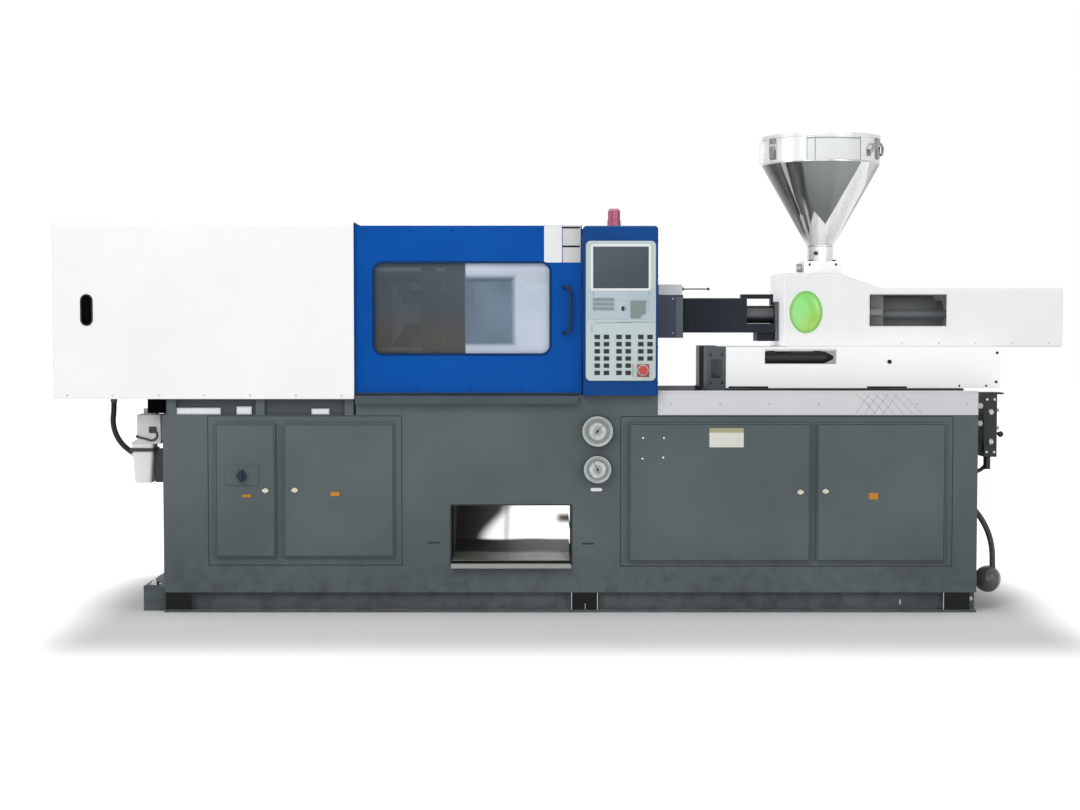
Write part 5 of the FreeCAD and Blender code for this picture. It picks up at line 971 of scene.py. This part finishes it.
def makeScrews(name, row):
    shape = bmesh.new()
    kind = "rivet" if row["finish"] == "chrome" else "screw"
    for index in range(row["count"]):
        place = Vector(row["first"]) + Vector(row["step"]) * index
        screwHead(shape, row["facing"], place, row["radius"], kind)
    linkPiece(name, shape, row["slot"], row["body"], row["finish"])


for name, row in screwRows.items():
    makeScrews(name, filled(row, count=5, radius=5))
print("seals, seams and screws made")

gauges = {
    "upperGauge": {"middle": (139, -536, 823), "radius": 70, "needle": 40},
    "lowerGauge": {"middle": (139, -536, 651), "radius": 63, "needle": -25},
}
gaugeLook = {"rim": 13, "rise": 7, "face": 2.0, "ticks": 28, "start": -135, "sweep": 270, "tick": (1.2, 7),
             "bold": (2.0, 10), "each": 4}


# A pressure gauge: rolled rim, printed face with plain ticks, and a needle on its hub.
def makeGauge(name, gauge):
    radius, middle = gauge["radius"], Vector(gauge["middle"])
    rim, rise, level = gaugeLook["rim"], gaugeLook["rise"], gaugeLook["face"]
    shape = bmesh.new()
    loft(shape, [placed("front", middle, oval(2 * (radius - inset), 2 * (radius - inset)), out)
                 for inset, out in ((0, 0), (0, rise - 3), (2, rise - 0.5), (5, rise), (8, rise - 1),
                                    (9, rise - 4), (rim, rise - 4.5), (rim, 0))], closed=True)
    linkPiece(name + ".rim", shape, "gauge_black", "machine_base", "gaugeRim")
    shape = bmesh.new()
    turned(shape, "front", middle, ((radius - rim, 0), (radius - rim, level)), 48)
    linkPiece(name + ".face", shape, "panel_grey", "machine_base", "gaugeFace")
    shape = bmesh.new()
    inner = radius - rim - 4
    for index in range(gaugeLook["ticks"] + 1):
        turn = math.radians(gaugeLook["start"] + gaugeLook["sweep"] * index / gaugeLook["ticks"])
        wide, long = gaugeLook["tick" if index % gaugeLook["each"] else "bold"]
        bar(shape, middle, turn, inner - long, inner, wide, level, level + 0.4)
    turn = math.radians(gauge["needle"])
    bar(shape, middle, turn, -radius * 0.22, inner - 6, 3.0, level + 1.2, level + 2.0)
    turned(shape, "front", middle, ((5.5, level), (5.5, level + 2.4), (4, level + 3.2)), 20)
    linkPiece(name + ".needle", shape, "gauge_black", "machine_base", "hose_black")


# A straight bar on a dial, from one radius to another along a turn from upright.
def bar(shape, middle, turn, start, end, wide, low, high):
    along, up, forward = facings["front"]
    way = along * math.sin(turn) + up * math.cos(turn)
    side = along * math.cos(turn) - up * math.sin(turn)
    rings = []
    for out in (low, high):
        corners = ((start, -wide / 2), (end, -wide / 4), (end, wide / 4), (start, wide / 2))
        rings.append([(middle + way * reach + side * off + forward * out) * mm for reach, off in corners])
    loft(shape, rings)


for name, gauge in gauges.items():
    makeGauge(name, gauge)
print("gauges made")

badge = {"middle": (1113, -250, 1360), "size": (151, 195), "sharp": 50.0, "rings": (
    (1.0, 0), (1.0, 2.5), (0.97, 4.2), (0.9, 4.6), (0.86, 4.2), (0.8, 5.2), (0.65, 7.2), (0.45, 8.6),
    (0.2, 9))}
tile = {"middle": (317, -575, 1369.5), "thick": 4.2, "outline": (
    (-33, -39), (10, -39), (12, -30), (15, -25), (22, -21), (33, -19), (33, 39), (-33, 39))}


# The plain green oval on the hood: a moulded rim and a swelling face, left bare.
def makeBadge():
    shape = bmesh.new()
    wide, high = badge["size"]
    loft(shape, [placed("front", badge["middle"], oval(wide * share, high * share, 64), out)
                 for share, out in badge["rings"]])
    linkPiece("hoodBadge", shape, "tank_plastic", "carriage", "badgeGreen", badge["sharp"])


# The grey tile on the panel, with its lower right corner cut away.
def makeNotchedTile():
    shape = bmesh.new()
    loft(shape, [placed("front", tile["middle"], tile["outline"], out) for out in (0, tile["thick"])])
    bmesh.ops.bevel(shape, geom=list(shape.edges), offset=0.0006, segments=2, affect="EDGES")
    linkPiece("notchedTile", shape, "panel_grey", "machine_base", "tileGrey")


makeBadge()
makeNotchedTile()

hatch = {"left": 1300, "right": 1600, "low": 899, "high": 990, "lines": 6, "back": 4, "lean": 92,
         "wide": 2.2, "thick": 0.5, "steps": 8}


# Faint bowed lines crossing on the band.
def makeHatch():
    shape = bmesh.new()
    lean, tall, half = hatch["lean"], hatch["high"] - hatch["low"], hatch["wide"] / 2
    starts = [hatch["left"] + (hatch["right"] - hatch["left"] - lean) * index / (hatch["lines"] - 1)
              for index in range(hatch["lines"])]
    shares = [step / hatch["steps"] for step in range(hatch["steps"] + 1)]
    lines = [[(start + lean * share ** 0.8, share) for share in shares] for start in starts]
    lines += [[(start + lean * (1 - share) * 0.7, share) for share in shares]
              for start in starts[:hatch["back"]]]
    corners = ((-half, 0), (-half, hatch["thick"]), (half, hatch["thick"]), (half, 0))
    for line in lines:
        loft(shape, [[placed("front", (0, -500, 0), [(x + aside, hatch["high"] - tall * share)], out)[0]
                      for aside, out in corners] for x, share in line])
    linkPiece("bandHatch", shape, "band_grey", "machine_base", "inkGrey")


makeHatch()
print("badge, tile and hatch made")


# Draws pieces part by part. A part is its tool and what the tool takes after the shape.
def drawPieces(pieces, **usual):
    for name, piece in pieces.items():
        row = filled(piece, **usual)
        shape = bmesh.new()
        for tool, *amounts in row["parts"]:
            tool(shape, *amounts)
        linkPiece(name, shape, row["slot"], row["body"], row["finish"])


# A band round an upright box, with its section as how far it stands out and its level.
def tankBand(shape, middle, side, corner, section):
    loft(shape, [placed("top", middle, roundedBox(side + 2 * over, side + 2 * over, corner), level)
                 for over, level in section], closed=True)


# The lubricator's switch box with its bent lead, the tank's band and strap, and its cap.
lubricator = {
    "pumpSwitch": dict(parts=(
        (fitting, "front", (-1885, -405, 823), (34, 28), 3, ((0, 0), (0, 6), (1.5, 8), (6, 8), (7, 6))),
        (pipe, ((-1868, -411, 815), (-1862, -411, 790), (-1884, -411, 772), (-1915, -411, 781),
                (-1956, -411, 792)), 4.5),
        (turned, "front", (-1956, -405, 792), ((7, 0), (7, 5), (5, 9), (2, 10)), 20))),
    "tankStrap": dict(slot="hose_black", parts=(
        (tankBand, (-1933, -350, 731), 104, 16, ((6, -8), (6, 8), (-3, 8), (-3, -8))),
        (fitting, "front", (-1851, -300, 656), (62, 152), 2, ((0, 0), (0, 70), (1, 71))))),
    "tankCap": dict(slot="tank_plastic", finish="labelGrey", parts=(
        (turned, "top", (-1960, -380, 759), ((16, 0), (16, 9), (14, 12), (11, 12), (10, 15), (4, 16))),)),
}
drawPieces(lubricator, finish="gauge_black")

drum = {"x": 1215, "radius": 275, "low": 2073, "high": 2172}


# A place round the drum, by its turn in degrees, its level and how far it stands out.
def onDrum(turn, level, out):
    angle, reach = math.radians(turn), drum["radius"] + out
    return Vector((drum["x"], 0, level)) + Vector((math.cos(angle), math.sin(angle), 0)) * reach


# A rolled bead round the hopper's axis.
def bead(shape, level, radius, section, steps):
    middle = (drum["x"], 0, level)
    loft(shape, [placed("top", middle, oval(2 * (radius + over), 2 * (radius + over), steps), rise)
                 for over, rise in section], closed=True)


# A sheet laid round the drum between two turns and two levels.
def curvedSheet(shape, start, end, low, high, thick, steps=18):
    loft(shape, [[onDrum(start + (end - start) * index / steps, level, out) * mm
                  for level, out in ((low, 0), (low, thick), (high, thick), (high, 0))]
                 for index in range(steps + 1)])


# A draw latch on the drum: base, lever, loop and hook, set round the axis.
def toggleClip(shape, turn):
    low, high = drum["low"], drum["high"]
    curvedSheet(shape, turn - 5, turn + 5, low, low + 42, 4)
    curvedSheet(shape, turn - 3.4, turn + 3.4, low + 6, low + 60, 10, 8)
    curvedSheet(shape, turn - 4.2, turn + 4.2, high - 24, high, 9, 8)
    for side in (-3.4, 3.4):
        pipe(shape, [onDrum(turn + side, low + 30, 9), onDrum(turn + side, high - 8, 9)], 2.2, 10)


# Beads, clips, handle, sight flap and neck fittings of the hopper.
rimBead = ((0, -4), (2.5, -2.5), (2.5, 2.5), (0, 4), (-1, 0))
bow = ((-46, 2100, 0), (-46, 2100, 16), (-44, 2128, 20), (-37, 2146, 22), (-28, 2144, 22), (-21, 2126, 20),
       (-20, 2098, 16), (-20, 2098, 0))
hopperPieces = {
    "hopperBeads": dict(finish="stainlessTrim", parts=(
        (bead, 2059, drum["radius"], rimBead, 72), (bead, 2176, drum["radius"], rimBead, 72),
        (bead, 1675, 60, ((0, -5), (3, -3), (3, 3), (0, 5), (-1, 0)), 48))),
    "hopperClips": dict(finish="clipGrey", parts=((toggleClip, -152), (toggleClip, -28))),
    "drumHandle": dict(finish="clipGrey", parts=(
        (pipe, [onDrum(*spot) for spot in bow], 6.0),
        *((curvedSheet, turn - 3, turn + 3, 2084, 2116, 3, 6) for turn in (-46, -20)))),
    "sightFlap": dict(finish="flapSheet", parts=((curvedSheet, -112, -58, 2063, 2166, 2.2),)),
    "flapEdges": dict(finish="inkGrey", parts=(
        *((curvedSheet, turn - 0.35, turn + 0.35, 2063, 2168, 3.4) for turn in (-112, -104, -58)),
        (curvedSheet, -112, -58, 2160, 2165, 3.8))),
    "neckFittings": dict(finish="gauge_black", slot="ground_steel", parts=(
        (fitting, "top", (1160, -72, 1601), (18, 14), 3, ((0, 0), (0, 6), (1, 7))),
        (screwHead, "front", (1153, -90, 1585), 6),
        (fitting, "top", (1270, -72, 1601), (18, 14), 3, ((0, 0), (0, 6), (1, 7))),
        (screwHead, "front", (1277, -90, 1585), 6),
        (turned, "front", (1185, -60, 1640), ((9, -4), (9, 8), (6, 11), (6, 16), (3, 18)), 24))),
}
drawPieces(hopperPieces, body="carriage", slot="stainless")

# The grip's bend is listed as along, away from the door and in from its end.
doorGrip = {"out": -505, "bar": 17, "root": -13, "low": 1263, "high": 1471, "thick": 7}


# Bow handle of the front door: a bar that turns back to the door leaf at both ends.
def makeDoorGrip():
    out, bar, root, low, high = (doorGrip[word] for word in ("out", "bar", "root", "low", "high"))
    shape = bmesh.new()
    bend = ((root, 0, 2), (root, 14, 2), (0, 25, 0), (bar - 3, 27, 10), (bar, 27, 30))
    route = [(x, out - away, high - draw) for x, away, draw in bend]
    route += [(x, out - away, low + draw) for x, away, draw in reversed(bend)]
    pipe(shape, route, doorGrip["thick"], 16)
    for level in (low + 2, high - 2):
        fitting(shape, "front", (root, out, level), (14, 14), 5, ((0, 0), (0, 3), (1, 4)))
    made = linkPiece("doorGrip", shape, "grip_black", "front_door")
    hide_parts("front_door_handle")


makeDoorGrip()
print("lubricator and hopper fittings made")

# Guard: a lamp box on its top with a thin feeler rod, and a lighter fold of sheet at its right.
guard = {
    "guardBox": dict(slot="panel_grey", finish="labelWhite", parts=(
        (fitting, "top", (488, -170, 1443), (112, 44), 5, ((0, -3), (0, 42), (1.5, 45), (5, 46))),)),
    "guardFeeler": dict(finish="gauge_black", parts=(
        (pipe, ((544, -170, 1468), (668, -170, 1468)), 3.0),
        (turned, "right", (544, -170, 1468), ((8, -2), (8, 6), (6, 9), (4, 9)), 20),
        (turned, "right", (662, -170, 1468), ((3, -1), (6, 2), (7, 6), (5, 10), (2, 12)), 20))),
    "guardFold": dict(slot="guard_grey", finish="foldGrey", parts=(
        (fitting, "front", (529, -200, 1335), (34, 190), 3, ((0, 0), (0, 1.2), (0.8, 1.8))),)),
    "guardScrews": dict(finish="ground_steel", parts=[
        (screwHead, "front", (x, -200, z), 4) for x in (426, 500) for z in (1262, 1422)]),
}
drawPieces(guard, body="guard")

# Manifold: socket screws, plugs, two pale couplings by the bed and a drain pipe.
plug = ((15, 0), (15, 4), (12, 6), (12, 12), (9, 14), (6, 14), (5, 8))
manifold = {
    "manifoldScrews": dict(finish="ground_steel", parts=(
        *((screwHead, "front", (x, -420, z), 7) for z in (722, 962) for x in (1914, 1948)),
        *((turned, "front", (1931, -420, z), plug, 6) for z in (770, 905)))),
    "paleCouplings": dict(slot="tank_plastic", finish="labelGrey", parts=[
        part for z, reach in ((932, 14), (852, 10)) for part in (
            (turned, "front", (1886, -400, z), ((13, -10), (13, reach), (10, reach + 3), (7, reach + 3)),
             24),
            (turned, "right", (1960, -372, z - 22), ((11, 0), (11, 10), (8, 13), (8, 20), (5, 22)), 24))]),
    "drainPipe": dict(slot="oil_black", finish="gauge_black", parts=(
        (pipe, ((1935, -330, 700), (1935, -330, 655), (1905, -330, 628), (1856, -330, 622)), 9),)),
}
drawPieces(manifold)

# Anchor bolts of the end foot, leg bolts of the unit's front posts and the barrel cover's screws.
washer = ((26, 0), (26, 3), (20, 3.2), (20, 3.4))
nut = ((17, 3), (17, 15), (15, 17), (8, 17), (8, 26), (6, 28))
bolts = {
    "anchorBolts": dict(finish="ground_steel", parts=(
        (turned, "top", (-1880, -400, 113), washer, 28), (turned, "top", (-1880, -400, 113), nut, 6),
        (turned, "top", (-1880, 400, 113), washer, 28), (turned, "top", (-1880, 400, 113), nut, 6),
        *((turned, "front", (x, -470, 60), ((12, -32), (12, 8), (10, 10)), 6) for x in (-1798, 1833)))),
    "postBolts": dict(parts=(
        *((screwHead, "front", (x, -300, z), 7) for x in (668, 720) for z in (1035, 1165)),
        (fitting, "front", (694, -300, 1100), (46, 84), 4, ((0, 0), (0, 3), (1.5, 4))))),
    "heaterScrews": dict(body="carriage", parts=(
        *((screwHead, "front", (x, -100, 1290), 4.5) for x in (600, 700, 800)),
        *((screwHead, "front", (x, -80, 1250), 4) for x in (917, 977)))),
}
drawPieces(bolts, slot="ground_steel", finish="gauge_black")
print("guard, manifold and bolts made")

hall = {"light": 0.40}


# The hall around the machine: white to the eye, softer as a light.
def makeHall():
    world.use_nodes = True
    graph = Graph(world.node_tree)
    world.node_tree.nodes.clear()
    strength = graph.span(graph.seen(), 0.0, 1.0, hall["light"], 1.0)
    sky = graph.get("Background", 0, {"Color": (1.0, 1.0, 1.0, 1.0), "Strength": strength})
    graph.add("OutputWorld", {"Surface": sky})


floorLook = {"half": 30.0, "colours": ("#f4f4f4", "#fbfbfb"), "shades": ("#ececec", "#e1e1e1"),
             "shadeLine": (-0.66, -1.15), "glow": 0.75, "side": (1.95, 2.45), "front": (-1.15, -2.2),
             "back": (0.5, 1.0)}


# The floor keeps the soft shadow that the lamps cast, adds a painted shadow as a greyer colour under and
# before the machine, and runs out to white around it.
def makeFloor():
    material, graph = startMaterial("paleFloor")
    where = graph.where()
    x, y, z = graph.parts(where)
    beside, before, behind = (
        graph.get("MapRange", 0, {"Value": amount, "From Min": low, "From Max": high})
        for amount, (low, high) in ((abs(x), floorLook["side"]), (y, floorLook["front"]),
                                    (y, floorLook["back"])))
    away = graph.span(graph.reach(beside, graph.sum("MAXIMUM", before, behind)), 0.0, 1.0)
    tone = graph.span(graph.noise(where, 0.6, 3.0), 0.3, 0.7)
    # shade: a painted shadow, the floor's colour greyer in a band before the machine.
    shade = graph.blend(graph.span(y, *floorLook["shadeLine"]), *floorLook["shades"])
    graph.shade({"Base Color": graph.blend(away, shade, graph.blend(tone, *floorLook["colours"])),
                 "Roughness": 0.9, "Specular IOR Level": 0.0, "Emission Color": (1.0, 1.0, 1.0, 1.0),
                 "Emission Strength": graph.seen() * (away * floorLook["glow"])})
    half = floorLook["half"]
    corners = [(-half, -half, 0), (half, -half, 0), (half, half, 0), (-half, half, 0)]
    mesh = bpy.data.meshes.new("floor")
    mesh.from_pydata(corners, [], [(0, 1, 2, 3)])
    mesh.materials.append(material)
    floor = bpy.data.objects.new("floor", mesh)
    scene.collection.objects.link(floor)


lamps = {
    "endLamp": {"place": (-9.0, -2.5, 2.6), "size": 4.0, "power": 60.0},
    "frontLamp": {"place": (0.5, -8.0, 1.4), "size": 4.0, "power": 55.0},
    "keyLamp": {"place": (-3.2, -6.5, 5.0), "size": 4.5, "power": 190.0},
    "sideLamp": {"place": (5.0, -6.0, 3.0), "size": 4.0, "power": 80.0},
    "topLamp": {"place": (0.0, 0.5, 6.0), "size": 5.0, "power": 110.0},
}


def makeLamps(aim=(0.0, 0.0, 1.0)):
    for name, lamp in lamps.items():
        light = bpy.data.lights.new(name, "AREA")
        light.shape = "DISK"
        light.size = lamp["size"]
        light.energy = lamp["power"]
        made = bpy.data.objects.new(name, light)
        made.location = lamp["place"]
        heading = Vector(aim) - made.location
        made.rotation_euler = heading.to_track_quat("-Z", "Y").to_euler()
        scene.collection.objects.link(made)


shot = {"place": (-0.1195, -8.5, 1.300), "tilt": 87.424, "focal": 59.27, "sensor": 36.0}


def makeCamera():
    camera = bpy.data.cameras.new("camera")
    camera.lens = shot["focal"]
    camera.sensor_width = shot["sensor"]
    camera.clip_end = 100.0
    made = bpy.data.objects.new("camera", camera)
    made.location = shot["place"]
    made.rotation_euler = (math.radians(shot["tilt"]), 0.0, 0.0)
    scene.collection.objects.link(made)
    scene.camera = made


makeHall()
makeFloor()
makeLamps()
makeCamera()
scene.view_settings.view_transform = "Standard"
print("hall, floor, lamps and camera made")
